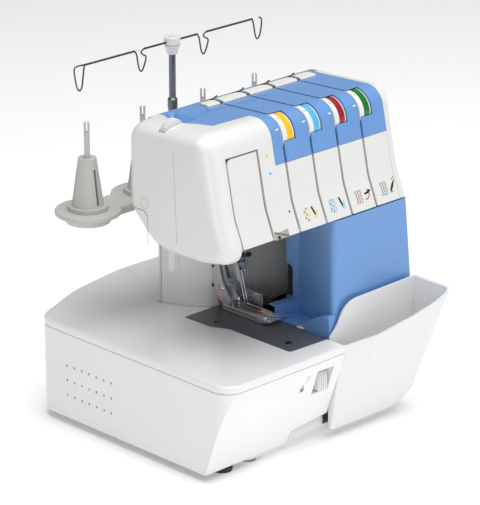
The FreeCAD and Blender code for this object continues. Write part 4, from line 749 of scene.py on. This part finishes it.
# --- Needle unit ------------------------------------------------------------------------------
# Needle bar with its clamp block, two clamp screws, a side knob and two fine needles with thread.
pale_steel = metal_finish("pale_steel", (0.62, 0.62, 0.61), 0.42, (300, 300, 60), 0.1, 0.3)
refined("needle_bar", "needle_unit", bright)
refined("needle_clamp", "needle_unit", ground)
refined("needles", "needle_unit", bright)
lean = Matrix.Rotation(math.radians(-15.8), 3, "X")
unit = Shape()
unit.lathe((10.5, 5.5, 149.5), (1, -0.1, 0), [(0, 1.3), (5, 1.3), (5.2, 2.3), (8.6, 2.3), (9.0, 1.9)], [1, 1, 1, 1], count=16)
unit.lathe((6.0, 2.5, 152.5), (-0.2, -1, 0.3), [(0, 2.2), (3.6, 2.2), (4.0, 1.8)], [1, 1], count=16)
unit.block((0.6, 2.6, 137.5), (3.4, 8.6, 158), 1, 0.5, lean, (2, 6, 148))
unit.lathe((8.8, 4.2, 141.5), (0, -1, 0.28), [(0, 1.9), (2.4, 1.9), (2.8, 1.5)], [0, 0], count=16)
unit.lathe((8.8, 1.7, 142.2), (0, -1, 0.28), [(0, 0.9), (0.3, 0.9)], [1], count=12)
unit.lathe((9.4, 3.0, 136.5), (0, -1, 0.28), [(0, 1.7), (2.4, 1.7), (2.8, 1.3)], [2, 2], count=16)
unit.tube([(10.2, -2.0, 141), (9.0, -4.2, 120), (8.4, -4.9, 103)], 0.22, 3, count=6)
violet_thread = plain_ink("violet_thread", (0.28, 0.26, 0.42))
unit.piece("needle_unit_parts", "needle_unit", "grey_steel", [ground, dark_metal_ink, bright, violet_thread])

# --- Presser foot -------------------------------------------------------------------------------
# Presser bar with a pale side plate, a wide black lever beside it and a blue-grey release lever. The foot
# has raised side rails, a polished front screw, pointed fabric guides and a red mark at its heel.
blue_steel = metal_finish("blue_steel", (0.22, 0.27, 0.36), 0.3, (300, 300, 60), 0.1, 0.5)
brass = metal_finish("brass", (0.62, 0.42, 0.20), 0.25, (300, 300, 300), 0.1)
for node in ("presser_ankle", "presser_bar"):
    refined(node, "presser_unit", ground)
refined("presser_spring", "machine", bright)
refined("presser_foot", "foot", bright)
linkage = Shape()
side_plate = [(28.4, 144.5), (16.5, 147.0), (11.4, 128.4), (2.5, 114.8), (-1.0, 112.8), (1.5, 107.4),
              (7.0, 106.4), (12.3, 107.2), (19.1, 115.4), (23.1, 125.4)]
linkage.prism(side_plate, lambda y, z, lift: (-11.4 - lift, y, z), -0.6, 0.6, 0, 0.2)
linkage.lathe((-12.4, 23.0, 140.6), (1, 0, 0), [(0, 1.5), (0.6, 1.7), (1.2, 1.7)], [1, 1], count=16)
linkage.lathe((-12.6, 23.4, 121.4), (1, 0, 0), [(0, 1.6), (0.6, 1.8), (1.2, 1.8)], [1, 1], count=16)
linkage.lathe((-12.8, 14.0, 121.6), (1, 0, 0), [(0, 2.0), (0.7, 2.6), (1.6, 2.6)], [2, 2], count=20)
linkage.lathe((-13.0, 10.2, 121.6), (1, 0, 0), [(0, 1.8), (0.6, 2.4), (1.6, 2.4)], [4, 4], count=20)
black_bar = [(22.6, 144.5), (11.6, 147.5), (4.9, 131.8), (16.6, 128.2), (18.0, 126.0), (20.0, 122.5),
             (21.4, 124.4), (17.8, 131.0)]
linkage.prism(black_bar, lambda y, z, lift: (-6.6 - lift, y, z), -0.8, 0.8, 1, 0.2)
release = [(17.1, 127.0), (10.4, 129.3), (2.3, 116.3), (2.3, 108.2), (6.5, 106.6), (10.4, 106.6), (10.4, 114.6)]
linkage.prism(release, lambda y, z, lift: (-2.6 - lift, y, z), -1.2, 1.2, 3, 0.3)
linkage.prism([(12.4, 143.5), (1.7, 146.5), (-3.7, 129.5), (1.7, 128.1), (4.4, 135.4), (11.1, 135.6)],
              lambda y, z, lift: (-0.4 - lift, y, z), -0.6, 0.6, 5, 0.2)
linkage.piece("presser_linkage", "presser_unit", "grey_steel", [pale_steel, dark_metal_ink, brass, blue_steel, bright, pale_steel])
sole = Shape()
for x0 in (-12.0, 5.6):
    sole.block((x0, -38, 103.4), (x0 + 1.2, 10, 106.4), 0, 0.35)
sole.block((-12, -50.4, 103.4), (7.6, -47.6, 105.6), 0, 0.6)
sole.block((-12, -46, 103.6), (-6.2, -39.5, 105.2), 0, 0.5)
sole.lathe((-9.2, -43.4, 104.2), (0, -0.25, 1), [(0, 2.6), (2.4, 2.6), (3.2, 2.2), (3.8, 1.2)], count=24)
sole.lathe((-2.6, -43.8, 104.0), (0, 0, 1), [(0, 1.6), (1.2, 1.6), (1.6, 1.1)], count=16)
front_guide = [(4.6, -46.4), (15.6, -52.6), (16.2, -52.0), (8.4, -42.6), (4.6, -41.6)]
side_guide = [(5.6, -39.6), (14.2, -44.0), (14.6, -43.4), (8.8, -39.4), (5.6, -38.6)]
sole.prism(front_guide, lambda x, y, lift: (x, y, 104.0 + lift), 0, 0.7, 0)
sole.prism(side_guide, lambda x, y, lift: (x, y, 104.6 + lift), 0, 0.7, 0)
sole.block((2.4, -22.8, 104.0), (5.2, -14.0, 104.9), 1, 0.2)
sole.block((-11.6, 8.6, 103.6), (-8.0, 13.6, 106.6), 1, 0.5)
sole.block((-11.8, 13.2, 105.4), (-9.4, 16.8, 107.6), 1, 0.5)
sole.tube([(-1.5, 4, 110), (-0.5, -8, 106.6), (0.4, -24, 104.8), (0.2, -36, 104.4)], 0.7, 2, count=8, smooth=1)
sole.piece("foot_parts", "foot", "bright_steel", [bright, red_ink, brass])

# --- Works inside the casing -----------------------------------------------------------------------
# Main shaft, loopers, knives, bearings, motor and cast frame, which show through the throat and from below.
for node, body in (("main_shaft", "drive"), ("upper_looper", "upper_looper_arm"), ("lower_looper", "lower_looper_arm"),
                   ("upper_knife", "knife"), ("lower_knife", "machine"), ("tension_spindles", "machine")):
    refined(node, body, bright)
cast = metal_finish("cast_aluminium", (0.5, 0.5, 0.5), 0.5, (300, 300, 300), 0.4)
refined("arm_frame", "machine", cast)
bronze = metal_finish("bronze", (0.5, 0.33, 0.14), 0.45)
refined("shaft_bearings", "machine", bronze)
dark_metal = metal_finish("dark_metal", (0.09, 0.09, 0.095), 0.4)
for node, body in (("motor", "machine"), ("motor_pulley", "motor_rotor"), ("drive_pulley", "drive")):
    refined(node, body, dark_metal)
